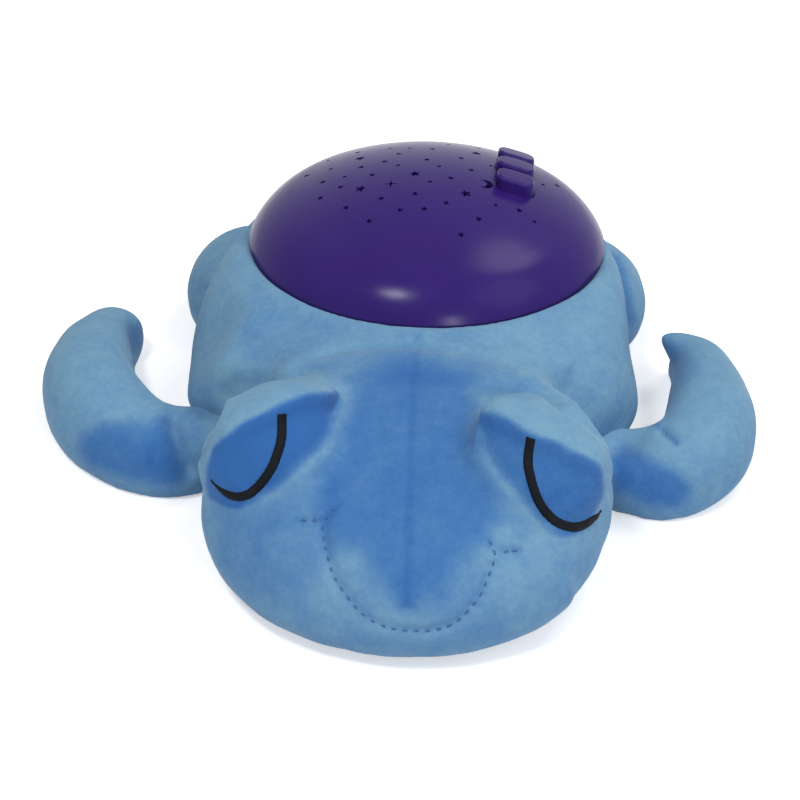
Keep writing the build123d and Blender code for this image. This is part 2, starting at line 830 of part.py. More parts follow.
# Batteries, their contacts and door
for index, name in enumerate(("front", "middle", "rear")):
    tag(cell_form(index), "battery_" + name)
tag(bundle(plate_forms()), "contact_plates")
tag(bundle(leaf_form(index) for index in range(cell_count)), "contact_leaves")
tag(door_form(), "battery_door")
tag(bundle(
    screw(door_screw, side * door_ear_reach, bay_centre, door_recess + door_screw[2], False)
    for side in (-1, 1)), "door_screws")
inserts = []
for side in (-1, 1):
    sleeve = column(side * door_ear_reach, bay_centre, ledge, ledge + insert_length, insert_radius)
    inserts.append(sleeve - column(
        side * door_ear_reach, bay_centre, 0, dome_top, door_screw[0] / 2 + screw_hole_gap))
tag(bundle(inserts), "door_inserts")

# Leads, from the contacts up to the lamp board, and from there to the control board
lead_start = (bay_length / 2 - plate_thickness, bay_roof + bay_wall + tab_rise / 2)
red_set_back = cell_place(0)
black_set_back = cell_place(cell_count - 1)
lamp_lead_y = lamp_y + lamp_lead_offset
board_bottom = board_top - board_thickness
control_rise = board_bottom - lamp_board_top
control_heights = [lamp_board_top + control_rise * share for share in control_lead_rise_shares]
red_route = (
    (lead_start[0], red_set_back, lead_start[1]),
    (17.0, red_set_back, lead_start[1]),
    (12.0, red_set_back - 5.5, 25.5),
    (lamp_lead_reach, lamp_lead_y, 34.5),
    (lamp_lead_reach, lamp_lead_y, lamp_board_bottom),
)
black_route = (
    (-lead_start[0], black_set_back, lead_start[1]),
    (-17.0, black_set_back, lead_start[1]),
    (-12.5, black_set_back - 9.0, 23.0),
    (-11.0, black_set_back - 20.5, 28.5),
    (-lamp_lead_reach, lamp_lead_y, 35.5),
    (-lamp_lead_reach, lamp_lead_y, lamp_board_bottom),
)
control_route = (
    (11.6, lamp_y - 2.0, lamp_board_top),
    (11.6, lamp_y - 2.0, control_heights[0]),
    (15.0, lamp_y - 0.4, control_heights[1]),
    (button_reach - 9.7, button_set_back - 1.6, control_heights[2]),
    (button_reach - 6.3, button_set_back, control_heights[3]),
    (button_reach - 6.3, button_set_back, board_bottom),
)
tag(cord(red_route, lead_diameter, "red lead"), "battery_lead_red")
tag(cord(black_route, lead_diameter, "black lead"), "battery_lead_black")
tag(cord(control_route, control_lead_diameter, "control lead"), "control_lead")
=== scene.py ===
import math
import bmesh
import bpy
import numpy as np
from mathutils import Matrix, Vector, noise
from mathutils.bvhtree import BVHTree


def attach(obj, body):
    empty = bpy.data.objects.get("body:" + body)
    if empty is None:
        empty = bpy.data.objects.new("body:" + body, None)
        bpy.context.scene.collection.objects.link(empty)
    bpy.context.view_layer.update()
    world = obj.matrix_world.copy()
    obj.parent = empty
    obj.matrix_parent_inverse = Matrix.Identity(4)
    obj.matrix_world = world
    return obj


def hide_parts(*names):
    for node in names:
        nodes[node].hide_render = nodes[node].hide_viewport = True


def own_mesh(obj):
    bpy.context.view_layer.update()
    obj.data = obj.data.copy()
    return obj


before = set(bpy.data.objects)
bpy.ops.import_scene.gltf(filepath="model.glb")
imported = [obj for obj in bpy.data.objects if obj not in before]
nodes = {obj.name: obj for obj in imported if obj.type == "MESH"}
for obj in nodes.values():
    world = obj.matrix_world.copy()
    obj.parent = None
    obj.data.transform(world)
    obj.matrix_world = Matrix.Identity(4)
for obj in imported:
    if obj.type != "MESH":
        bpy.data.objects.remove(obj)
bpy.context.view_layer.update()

# a stuffed turtle that lies on its belly, with a star projector as its shell
mm = 0.001
scene = bpy.context.scene
scene.view_settings.view_transform = "Standard"

# camera, matched to the rim of the dome
cameraSpec = {
    "place": (0.02611, -0.61873, 0.38847),
    "right": (0.99764, 0.06708, 0.01461),
    "up": (-0.0489, 0.5449, 0.83708),
    "lens": 79.2,
    "sensor": 36.0,
    "framePixels": 800,
}
eye = Vector(cameraSpec["place"])
viewRight = Vector(cameraSpec["right"]).normalized()
viewUp = Vector(cameraSpec["up"])
viewUp = (viewUp - viewRight * viewUp.dot(viewRight)).normalized()
viewBack = viewRight.cross(viewUp)
frameMiddle = cameraSpec["framePixels"] / 2
focal = cameraSpec["lens"] / cameraSpec["sensor"] * cameraSpec["framePixels"]


def makeCamera():
    data = bpy.data.cameras.new("camera")
    data.lens = cameraSpec["lens"]
    data.sensor_width = cameraSpec["sensor"]
    camera = bpy.data.objects.new("camera", data)
    turn = Matrix((viewRight, viewUp, viewBack)).transposed().to_4x4()
    camera.matrix_world = Matrix.Translation(eye) @ turn
    scene.collection.objects.link(camera)
    scene.camera = camera


def pixelRay(pixel):
    across = (pixel[0] - frameMiddle) / focal
    upward = (frameMiddle - pixel[1]) / focal
    return (viewRight * across + viewUp * upward - viewBack).normalized()


def pixelsOf(points):
    away = points - np.array(eye)
    depth = -(away @ np.array(viewBack))
    across = away @ np.array(viewRight) / depth * focal
    upward = away @ np.array(viewUp) / depth * focal
    return np.stack([frameMiddle + across, frameMiddle - upward], 1)


makeCamera()
print("camera set")


# tools for meshes
def addPiece(name, mesh):
    piece = bpy.data.objects.new(name, mesh)
    scene.collection.objects.link(piece)
    return piece


def copyNodes(name, grown):
    # one object from copies of CAD meshes, each grown a little so that they overlap
    whole = bmesh.new()
    for node, growth in grown:
        part = bmesh.new()
        part.from_mesh(nodes[node].data)
        bmesh.ops.remove_doubles(part, verts=part.verts, dist=0.002 * mm)
        part.normal_update()
        for vert in part.verts:
            vert.co += vert.normal * growth
        mesh = bpy.data.meshes.new("part")
        part.to_mesh(mesh)
        part.free()
        whole.from_mesh(mesh)
        bpy.data.meshes.remove(mesh)
    mesh = bpy.data.meshes.new(name)
    whole.to_mesh(mesh)
    whole.free()
    return addPiece(name, mesh)


def bakeModifiers(piece):
    bpy.context.view_layer.update()
    graph = bpy.context.evaluated_depsgraph_get()
    mesh = bpy.data.meshes.new_from_object(piece.evaluated_get(graph))
    old = piece.data
    piece.modifiers.clear()
    piece.data = mesh
    bpy.data.meshes.remove(old)
    mesh.name = piece.name


def remesh(piece, voxel):
    tool = piece.modifiers.new("voxels", "REMESH")
    tool.mode = "VOXEL"
    tool.voxel_size = voxel
    bakeModifiers(piece)


def subdivide(piece):
    tool = piece.modifiers.new("rounds", "SUBSURF")
    tool.levels = tool.render_levels = 1
    bakeModifiers(piece)


def readPoints(piece):
    points = np.empty(len(piece.data.vertices) * 3)
    piece.data.vertices.foreach_get("co", points)
    return points.reshape(-1, 3)


def writePoints(piece, points):
    piece.data.vertices.foreach_set("co", points.ravel())
    piece.data.update()


def readNormals(piece):
    normals = np.empty(len(piece.data.vertices) * 3)
    piece.data.vertices.foreach_get("normal", normals)
    return normals.reshape(-1, 3)


relaxStrength = 0.5


def relax(piece, rounds, share):
    # each point moves towards the middle of its neighbours
    count = len(piece.data.vertices)
    ends = np.empty(len(piece.data.edges) * 2, int)
    piece.data.edges.foreach_get("vertices", ends)
    ends = ends.reshape(-1, 2)
    both = np.concatenate([ends, ends[:, ::-1]])
    valence = np.maximum(np.bincount(both[:, 0], minlength=count), 1)[:, None]
    points = readPoints(piece)
    share = np.asarray(share, float)[:, None]
    for _ in range(rounds):
        total = np.stack([np.bincount(both[:, 0], points[both[:, 1], axis], count) for axis in range(3)], 1)
        points += (total / valence - points) * relaxStrength * share
    writePoints(piece, points)


def smoothStep(low, high, value):
    t = np.clip((value - low) / (high - low), 0, 1)
    return t * t * (3 - 2 * t)


def bell(distance, reach):
    return np.exp(-(distance / reach) ** 2)


def endShare(along, first, last):
    # 0 at both ends of a line and 1 between
    return smoothStep(0, first, along) * smoothStep(0, last, 1 - along)


def softNoise(points, size, seed):
    start = Vector((seed, seed * 1.7, seed * 0.3))
    return np.array([noise.noise(Vector(point) / size + start) for point in points])


def treeOf(*pieces):
    points, faces = [], []
    for piece in pieces:
        start = len(points)
        points += [vert.co.copy() for vert in piece.data.vertices]
        faces += [[start + index for index in face.vertices] for face in piece.data.polygons]
    return BVHTree.FromPolygons(points, faces)


def castPixels(tree, pixels):
    found = [tree.ray_cast(eye, pixelRay(pixel))[0] for pixel in pixels]
    return np.array([place for place in found if place is not None])


lineStep = 1.0 * mm


def spacedLine(points, step):
    # a smooth line along the points, with even spacing
    curve = bpy.data.curves.new("line", "CURVE")
    curve.dimensions = "3D"
    curve.resolution_u = 12
    spline = curve.splines.new("NURBS")
    spline.points.add(len(points) - 1)
    for knot, point in zip(spline.points, points):
        knot.co = (*point, 1)
    spline.order_u = 3
    spline.use_endpoint_u = True
    holder = bpy.data.objects.new("line", curve)
    scene.collection.objects.link(holder)
    bpy.context.view_layer.update()
    mesh = bpy.data.meshes.new_from_object(holder)
    dense = np.array([vert.co[:] for vert in mesh.vertices])
    bpy.data.objects.remove(holder)
    bpy.data.curves.remove(curve)
    bpy.data.meshes.remove(mesh)
    run = np.concatenate([[0], np.cumsum(np.linalg.norm(np.diff(dense, axis=0), axis=1))])
    count = max(int(round(run[-1] / step)), 2)
    marks = np.linspace(0, run[-1], count + 1)
    return np.stack([np.interp(marks, run, dense[:, axis]) for axis in range(3)], 1)


def onSurface(tree, points):
    found = [tree.find_nearest(Vector(point)) for point in points]
    return np.array([hit[0] for hit in found]), np.array([hit[1] for hit in found])


def surfaceGap(tree, points):
    # distance to a surface, and the surface's normals there
    places, outward = onSurface(tree, points)
    return np.linalg.norm(points - places, axis=1), outward


def surfaceLine(tree, pixels):
    # a line drawn on a surface through pixels of the picture
    return onSurface(tree, spacedLine(castPixels(tree, pixels), lineStep))[0]


def nearLine(points, line):
    # distance to the line, and the place along it from 0 to 1
    best = np.full(len(points), 1e9)
    along = np.zeros(len(points))
    for index, (start, end) in enumerate(zip(line, line[1:])):
        run = end - start
        share = np.clip((points - start) @ run / max(run @ run, 1e-18), 0, 1)
        distance = np.linalg.norm(points - start - share[:, None] * run, axis=1)
        closer = distance < best
        best[closer] = distance[closer]
        along[closer] = (index + share[closer]) / (len(line) - 1)
    return best, along


def outlineShare(points, outline, soft):
    # 1 inside an outline of the picture and 0 outside, over a soft edge in pixels
    pixels = pixelsOf(points)
    corners = np.array(outline, float)
    best = np.full(len(pixels), 1e9)
    inside = np.zeros(len(pixels), bool)
    for start, end in zip(corners, np.roll(corners, -1, axis=0)):
        run = end - start
        share = np.clip((pixels - start) @ run / (run @ run), 0, 1)
        best = np.minimum(best, np.linalg.norm(pixels - start - share[:, None] * run, axis=1))
        crosses = (start[1] > pixels[:, 1]) != (end[1] > pixels[:, 1])
        level = start[0] + (pixels[:, 1] - start[1]) * run[0] / (run[1] if run[1] else 1e-9)
        inside ^= crosses & (pixels[:, 0] < level)
    return smoothStep(-soft, soft, np.where(inside, best, -best))


facingRange = (-0.05, 0.25)


def facingShare(points, normals):
    # 1 where a surface faces the eye
    away = np.array(eye) - points
    away /= np.linalg.norm(away, axis=1)[:, None]
    return smoothStep(*facingRange, (normals * away).sum(1))


# stuffed pieces: each is a copy of its solids, drawn in a little and blown up again as cloth
clothSpec = {
    "frames": 20, "quality": 5, "mass": 0.25, "tension": 12.0, "shear": 6.0, "bending": 0.6, "damping": 4.0}


def inflate(piece, held, pressure, cap):
    rest = readPoints(piece)
    group = piece.vertex_groups.new(name="held")
    group.add([int(index) for index in np.nonzero(held)[0]], 1.0, "REPLACE")
    tool = piece.modifiers.new("filling", "CLOTH")
    cloth = tool.settings
    cloth.quality = clothSpec["quality"]
    cloth.mass = clothSpec["mass"]
    cloth.tension_stiffness = clothSpec["tension"]
    cloth.compression_stiffness = clothSpec["tension"]
    cloth.shear_stiffness = clothSpec["shear"]
    cloth.bending_stiffness = clothSpec["bending"]
    cloth.air_damping = clothSpec["damping"]
    cloth.use_pressure = True
    cloth.uniform_pressure_force = pressure
    cloth.vertex_group_mass = "held"
    cloth.effector_weights.gravity = 0
    tool.collision_settings.use_collision = False
    tool.collision_settings.use_self_collision = False
    tool.point_cache.frame_start = 1
    tool.point_cache.frame_end = clothSpec["frames"]
    for number in range(1, clothSpec["frames"] + 1):
        scene.frame_set(number)
    bakeModifiers(piece)
    piece.vertex_groups.clear()
    scene.frame_set(1)
    move = readPoints(piece) - rest
    length = np.linalg.norm(move, axis=1)
    limit = np.minimum(1, cap / np.maximum(length, 1e-9))
    writePoints(piece, rest + move * limit[:, None])
    print(piece.name, "filled, moved by", round(length.mean() / mm, 2), "mm in the mean")


def makeSoft(spec, held, settle=None):
    piece = copyNodes(spec["name"], spec["nodes"])
    remesh(piece, spec["voxel"])
    still = held(readPoints(piece))
    relax(piece, spec["relaxRounds"], np.where(still, 0, 1))
    if settle:
        settle(piece, still)
    full, outward = readPoints(piece), readNormals(piece)
    loose = np.where(still, 0, 1)
    writePoints(piece, full - outward * (spec["shrink"] * loose)[:, None])
    inflate(piece, still, spec["pressure"], spec["cap"])
    swollen = readPoints(piece)
    short = ((full - swollen) * outward).sum(1)[loose > 0].mean()  # what the filling didn't win back
    writePoints(piece, swollen + outward * (short * loose)[:, None])
    subdivide(piece)
    return piece


def groove(points, normals, line, depth, width, fade):
    distance, along = nearLine(points, line)
    return -normals * (depth * bell(distance, width) * endShare(along, fade, fade))[:, None]


def pits(points, normals, places, depth, width):
    sink = np.zeros(len(points))
    for place in places:
        sink = np.maximum(sink, bell(np.linalg.norm(points - place, axis=1), width))
    return -normals * (depth * sink)[:, None]


# cover of the body, the head and the eye mounds, which are sewn as one skin
coverSpec = {
    "name": "plush_cover",
    "nodes": (
        ("plush_body", 0.0), ("plush_head", 0.5 * mm), ("eye_mound_left", 0.5 * mm), ("eye_mound_right", 0.5 * mm)),
    "voxel": 2.5 * mm,
    "relaxRounds": 7,
    "shrink": 0.9 * mm,
    "pressure": 4.0,
    "cap": 3.5 * mm,
    "fill": 0.85,
    "caseRadius": 58.3 * mm,
    "ledgeRadius": 68.8 * mm,
    "ledgeHeight": 55.7 * mm,
    "rimHeight": 60.4 * mm,
    "domeRadius": 70.2 * mm,
    "hugRise": 2.3 * mm,
    "hugReach": 11 * mm,
    "hugEdge": 1.6 * mm,
    "hugFade": 2 * mm,
    "hugHeights": (46 * mm, 57 * mm),
    "hugFront": (-0.05, 0.35),
    "backSink": 2.6 * mm,
    "holdReach": 1.2 * mm,
    "neckRounds": 70,
    "neckReach": 24 * mm,
    "moundReach": (1 * mm, 9 * mm),
    "tableHold": 1.2 * mm,
    "tableReach": 8 * mm,
    "dimple": 0.40 * mm,
    "dimpleSize": 15 * mm,
    "dimpleSeed": 3.1,
    "ripple": 0.16 * mm,
    "rippleSize": 6 * mm,
    "rippleSeed": 7.7,
}


def nearCase(points, reach):
    radius = np.hypot(points[:, 0], points[:, 1])
    cavity = (radius < coverSpec["caseRadius"] + reach) & (points[:, 2] < coverSpec["rimHeight"])
    ledge = (radius < coverSpec["ledgeRadius"] + reach) & (points[:, 2] > coverSpec["ledgeHeight"] - reach)
    return cavity | ledge


def coverHeld(points):
    return nearCase(points, coverSpec["holdReach"]) | (points[:, 2] < coverSpec["tableHold"])


def clearCase(points):
    # the cover stays out of the case and off the table
    radius = np.hypot(points[:, 0], points[:, 1])
    wall = np.where(points[:, 2] > coverSpec["ledgeHeight"], coverSpec["ledgeRadius"], coverSpec["caseRadius"])
    push = np.where(radius < wall, wall / np.maximum(radius, 1e-9), 1)
    points[:, :2] *= push[:, None]
    under = np.hypot(points[:, 0], points[:, 1]) < coverSpec["domeRadius"]
    points[:, 2] = np.where(under, np.minimum(points[:, 2], coverSpec["rimHeight"]), points[:, 2])
    points[:, 2] = np.maximum(points[:, 2], 0)
    return points


def blendNeck(piece, still):
    # the skin runs smoothly from the body to the head
    points = readPoints(piece)
    body, head, left, right = [surfaceGap(treeOf(nodes[node]), points)[0] for node, growth in coverSpec["nodes"]]
    reach = coverSpec["neckReach"]
    joint = smoothStep(reach, reach / 4, np.maximum(body, head))
    joint *= smoothStep(*coverSpec["moundReach"], np.minimum(left, right))
    relax(piece, coverSpec["neckRounds"], joint * np.where(still, 0, 1))


cover = makeSoft(coverSpec, coverHeld, blendNeck)
plainTree = treeOf(cover)
print("cover made,", len(cover.data.polygons), "faces")

# seams of the face, as pixels of the picture
seamSpec = {
    "neck": (
        (270, 372), (300, 362), (321, 354), (345, 348), (370, 345), (415, 343), (470, 353), (519, 367), (545, 380)),
    "neckDepth": 1.5 * mm,
    "neckWidth": 3.4 * mm,
    "neckFade": 0.25,
    "centre": ((419, 331), (416, 345), (413, 380), (411, 420), (409, 477), (408, 540), (407, 575), (407, 606)),
    "centreDepth": 0.8 * mm,
    "centreWidth": 1.2 * mm,
    "noseEnd": ((399, 608), (407, 610), (416, 609)),
    "mouth": (
        (338, 506), (328, 515), (322, 524), (324, 541), (330, 568), (336, 581), (351, 603), (366, 618), (388, 629),
        (421, 632), (446, 628), (459, 621), (479, 599), (486, 583), (494, 563), (496, 550), (487, 538)),
    "leftTick": ((298, 520), (310, 521), (321, 520)),
    "rightTick": ((502, 552), (511, 551), (519, 550)),
    "mouthDepth": 1.1 * mm,
    "mouthWidth": 1.7 * mm,
    "seamFade": 0.06,
    "puckerPitch": 4.4 * mm,
    "puckerReach": 4.5 * mm,
    "pucker": 0.22 * mm,
    "puckerFade": 0.03,
    "pitEvery": 5,
    "pitDepth": 0.7 * mm,
    "pitWidth": 1.3 * mm,
}
sewnLines = ("mouth", "leftTick", "rightTick")
seamLines = {key: surfaceLine(plainTree, seamSpec[key]) for key in ("neck", "centre", "noseEnd", *sewnLines)}

# hoods over the eyes: a puffed brow with a crest, and below it a flatter, leaf-shaped lid
leftCrest = (
    (338, 397), (324, 400), (305, 402), (287, 408), (272, 414), (258, 421), (244, 428), (229, 440), (214, 449),
    (208, 462))
rightCrest = (
    (481, 421), (490, 421), (499, 421), (512, 425), (524, 433), (538, 440), (554, 444), (566, 452), (582, 458),
    (593, 465), (600, 475), (605, 487))
hoodSpecs = [
    {
        # the lid: darker, partly nap and partly painted shade
        "lidNapAndShade": -0.95,
        "crest": leftCrest,
        "face": leftCrest[:-1] + (
            (208, 466), (207, 485), (210, 497), (222, 505), (237, 508), (252, 504), (266, 496), (282, 487), (291, 478),
            (302, 468), (311, 459), (322, 450), (331, 438), (335, 423), (338, 407)),
        "foot": (
            (338, 404), (335, 423), (331, 438), (322, 450), (311, 459), (302, 468), (291, 478), (282, 487), (266, 497),
            (250, 505)),
        "brow": (
            (327, 388), (320, 379), (307, 374), (291, 376), (276, 380), (260, 385), (243, 392), (226, 403), (214, 421),
            (207, 440)),
        "corner": ((226, 402), (214, 411), (206, 421), (203, 432), (202, 443), (203, 455)),
        "cornerShift": (4.2 * mm, 0.0, -1.0 * mm),
    },
    {
        "lidNapAndShade": -0.68,
        "crest": rightCrest,
        "face": rightCrest[:1] + rightCrest[2:] + (
            (604, 501), (598, 515), (588, 528), (576, 535), (562, 537), (550, 534), (541, 524), (531, 513), (519, 498),
            (510, 487), (499, 478), (487, 460), (481, 445)),
        "foot": (
            (480, 428), (482, 447), (487, 460), (499, 478), (510, 487), (519, 498), (531, 513), (541, 524), (552, 535)),
        "brow": (
            (480, 412), (491, 404), (504, 397), (521, 394), (541, 396), (557, 406), (572, 415), (590, 426), (600, 440),
            (607, 455)),
        "corner": ((539, 362), (549, 367), (561, 380), (572, 391), (583, 403), (596, 418), (603, 430), (606, 442)),
        "cornerShift": (-2.5 * mm, -1.0 * mm, -9.0 * mm),
    },
]
hood = {
    "lip": 3.0 * mm,
    "lipBehind": 9.0 * mm,
    "lipBefore": 4.5 * mm,
    "hollow": 1.6 * mm,
    "hollowReach": 7.2 * mm,
    "hollowSoft": 12.8,
    "innerFade": 0.07,
    "outerFade": 0.22,
    "browDepth": 3.4 * mm,
    "browWidth": 4.0 * mm,
    "browLift": 6,
    "browFade": 0.15,
    "footDepth": 0.9 * mm,
    "footWidth": 2.0 * mm,
    "footFade": 0.12,
    "footTone": 0.5,
    "footToneReach": 5 * mm,
    "faceSoft": 3.2,
    "cornerReach": 10 * mm,
    "cornerSoft": 7,
    "cornerFade": 0.15,
    # painted light on the brow's top, and painted shade in the valley behind the brow
    "browPaintedLight": 0.05,
    "valleyPaintedShade": -0.05,
    "valleyShadeReach": 6 * mm,
}


def hoodMove(points, normals, spec):
    # how a hood shapes the skin, and how it changes the tone: the lid darker, partly as the pile's nap and partly as
    # painted shade, painted light on the brow and painted shade in the valley behind it
    lifted = [(x, y - hood["browLift"]) for x, y in spec["brow"]]
    crest, foot, corner, brow = [
        surfaceLine(plainTree, pixels) for pixels in (spec["crest"], spec["foot"], spec["corner"], lifted)]
    facing = facingShare(points, normals)
    top = spec["brow"] + spec["crest"][::-1]
    lid, hollow, ridge, kept = [outlineShare(points, outline, hood[soft]) * facing for outline, soft in (
        (spec["face"], "faceSoft"), (spec["face"], "hollowSoft"), (top, "faceSoft"), (top, "cornerSoft"))]
    pale = smoothStep(0, hood["footToneReach"], nearLine(points, foot)[0])
    # painted shade on the lid, partly the pile's nap, lighter near its foot; painted light on the brow's top; painted
    # shade in the valley behind the brow
    tone = spec["lidNapAndShade"] * lid * (hood["footTone"] + (1 - hood["footTone"]) * pale)
    tone += hood["browPaintedLight"] * ridge
    valley = bell(nearLine(points, brow)[0], hood["valleyShadeReach"])
    tone += hood["valleyPaintedShade"] * valley * (1 - ridge) * (1 - lid)
    distance, along = nearLine(points, crest)
    before = hood["lip"] * smoothStep(hood["lipBefore"], 0, distance)
    before -= hood["hollow"] * smoothStep(0, hood["hollowReach"], distance) * hollow
    behind = hood["lip"] * bell(distance, hood["lipBehind"])
    ends = endShare(along, hood["innerFade"], hood["outerFade"])
    move = normals * (np.where(lid > 0.5, before, behind) * ends)[:, None]
    gap, along = nearLine(points, corner)
    drop = bell(gap, hood["cornerReach"]) * (1 - np.maximum(kept, lid))
    drop *= endShare(along, hood["cornerFade"], hood["cornerFade"])
    move += drop[:, None] * np.array(spec["cornerShift"])
    for key, line in (("brow", brow), ("foot", foot)):
        depth, width, fade = (hood[key + part] for part in ("Depth", "Width", "Fade"))
        move += groove(points, normals, line, depth, width, fade)
    return move, tone


# where the skin is drawn in, where the filling stands out and where it has moved:
# pixels of the picture, then depth, rise or shift, then reach
shapeSpec = {
    "pressFade": 0.2,
    "presses": (
        (((226, 404), (240, 392), (256, 380), (272, 366), (288, 354)), 2.5 * mm, 7 * mm),
        (((603, 430), (596, 418), (583, 403), (572, 391), (561, 380), (549, 367)), 3.0 * mm, 9 * mm),
        (((609, 505), (607, 520), (603, 542), (597, 562), (586, 583), (570, 600)), 2.2 * mm, 14 * mm),
    ),
    "puffs": (
        ((317, 389), 4.0 * mm, 8 * mm),
        ((296, 392), 1.2 * mm, 9 * mm),
        ((497, 409), 2.2 * mm, 8 * mm),
        ((201, 399), 3.4 * mm, 13 * mm),
        ((232, 382), 4.4 * mm, 12 * mm),
        ((620, 408), 6.0 * mm, 15 * mm),
        ((592, 402), 8.4 * mm, 14 * mm),
        ((572, 380), 4.0 * mm, 11 * mm),
    ),
    "shifts": (
        ((207, 326), (6.2 * mm, 0.0, 0.0), 15 * mm),
        ((206, 392), (-1.6 * mm, 0.0, 0.0), 15 * mm),
    ),
}


def hugDome(points):
    # the pile stands up against the dome's edge in front, and lies lower behind
    radius = np.hypot(points[:, 0], points[:, 1])
    edge = coverSpec["domeRadius"]
    rise = smoothStep(edge, edge + coverSpec["hugEdge"], radius)
    rise *= smoothStep(edge + coverSpec["hugReach"], edge + coverSpec["hugFade"], radius)
    front = smoothStep(*coverSpec["hugFront"], -points[:, 1] / np.maximum(radius, 1e-9))
    lift = coverSpec["hugRise"] * front - coverSpec["backSink"] * (1 - front)
    return lift * rise * smoothStep(*coverSpec["hugHeights"], points[:, 2])


def fillingMove(tree, points, normals, spec):
    def near(pixel, reach):
        return bell(np.linalg.norm(points - castPixels(tree, [pixel])[0], axis=1), reach)[:, None]

    move = np.zeros(points.shape)
    for pixel, rise, reach in spec.get("puffs", ()):
        move += normals * rise * near(pixel, reach)
    for pixel, shift, reach in spec.get("shifts", ()):
        move += near(pixel, reach) * np.array(shift)
    return move


def seamMove(points, normals):
    def sew(key, kind, fade):
        return groove(points, normals, seamLines[key], seamSpec[kind + "Depth"], seamSpec[kind + "Width"], fade)

    move = sew("neck", "neck", seamSpec["neckFade"]) + sew("centre", "centre", seamSpec["seamFade"])
    distance, along = nearLine(points, seamLines["centre"])
    run = along * len(seamLines["centre"]) * lineStep
    wave = np.cos(2 * math.pi * run / seamSpec["puckerPitch"]) * bell(distance, seamSpec["puckerReach"])
    wave *= endShare(along, seamSpec["puckerFade"], seamSpec["puckerFade"])
    move += normals * (seamSpec["pucker"] * wave)[:, None]
    for key in (*sewnLines, "noseEnd"):
        move += sew(key, "mouth", seamSpec["seamFade"])
    for key in sewnLines:
        places = seamLines[key][::seamSpec["pitEvery"]]
        move += pits(points, normals, places, seamSpec["pitDepth"], seamSpec["pitWidth"])
    return move


def shapeCover():
    points, normals = readPoints(cover), readNormals(cover)
    loose = np.where(nearCase(points, coverSpec["holdReach"]), 0, 1)
    free = np.where(nearCase(points, coverSpec["holdReach"] * 3), 0, 1)
    free = free * smoothStep(0, coverSpec["tableReach"], points[:, 2])
    dents = sum(
        coverSpec[key] * softNoise(points, coverSpec[key + "Size"], coverSpec[key + "Seed"])
        for key in ("dimple", "ripple"))
    move = normals * (dents * free)[:, None] + seamMove(points, normals)
    move += fillingMove(plainTree, points, normals, shapeSpec)
    for pixels, depth, reach in shapeSpec["presses"]:
        move += groove(points, normals, surfaceLine(plainTree, pixels), depth, reach, shapeSpec["pressFade"])
    move[:, 2] += hugDome(points)
    tones = np.zeros(len(points))
    for spec in hoodSpecs:
        lift, tone = hoodMove(points, normals, spec)
        move += lift
        tones += tone
    writePoints(cover, points + move * loose[:, None])
    relax(cover, 1, loose)
    writePoints(cover, clearCase(readPoints(cover)))
    return tones


# the tones that the hoods give: nap, painted light and painted shade
hoodNapAndShade = shapeCover()
coverTree = treeOf(cover)
print("cover shaped")

# flippers, tucked a little into the skin that they are sewn to
flipperSpecs = [
    {
        "name": "plush_flipper_front_left", "node": "front_flipper_left", "fill": 0.8,
        "crease": ((171, 411), (174, 425), (178, 443), (185, 463), (193, 479)), "depth": 4.0 * mm, "width": 2.7 * mm,
        "shifts": (((138, 326), (1.6 * mm, 0.6 * mm, 0.0), 8 * mm), ((139, 346), (-3.6 * mm, 0.0, 0.0), 11 * mm)),
        "puffs": (((140, 484), 2.0 * mm, 16 * mm), ((180, 482), 2.0 * mm, 12 * mm), ((165, 407), -1.6 * mm, 10 * mm)),
    },
    {
        "name": "plush_flipper_front_right", "node": "front_flipper_right", "fill": 0.8,
        "crease": ((651, 421), (657, 425), (664, 431), (671, 438), (678, 446)), "depth": 1.7 * mm, "width": 2.0 * mm,
        "shifts": (((672, 343), (-8.4 * mm, 3.4 * mm, 0.8 * mm), 8 * mm), ((660, 360), (6.2 * mm, 0.0, 0.0), 20 * mm)),
        "puffs": (((676, 511), 1.2 * mm, 14 * mm), ((616, 437), -7.0 * mm, 12 * mm)),
    },
    {
        "name": "plush_flipper_rear_left", "node": "rear_flipper_left", "fill": 0.7,
        "crease": ((205, 318), (201, 300), (203, 280)), "depth": 1.0 * mm, "width": 3.0 * mm,
        "puffs": (((196, 300), -2.6 * mm, 16 * mm),),
    },
    {
        "name": "plush_flipper_rear_right", "node": "rear_flipper_right", "fill": 0.7,
        "crease": ((618, 262), (624, 285), (628, 310), (627, 326)), "depth": 1.4 * mm, "width": 3.0 * mm,
    },
]
flipperShared = {
    "voxel": 2.4 * mm,
    "relaxRounds": 5,
    "shrink": 0.8 * mm,
    "pressure": 4.0,
    "cap": 3.2 * mm,
    "rootReach": 1.6 * mm,
    "tableHold": 1.2 * mm,
    "tuck": 2.4 * mm,
    "tuckReach": (3.0 * mm, 0.6 * mm),
    "creaseFade": 0.2,
    "tableReach": 6 * mm,
    "dimple": 0.35 * mm,
    "dimpleSize": 13 * mm,
    "dimpleSeed": 5.3,
    "pucker": 0.35 * mm,
    "puckerSize": 5 * mm,
    "puckerSeed": 9.1,
    "puckerReach": 12 * mm,
}
trunkTree = treeOf(nodes["plush_body"], nodes["plush_head"])


def flipperHeld(points):
    distance = surfaceGap(trunkTree, points)[0]
    return (distance < flipperShared["rootReach"]) | (points[:, 2] < flipperShared["tableHold"])


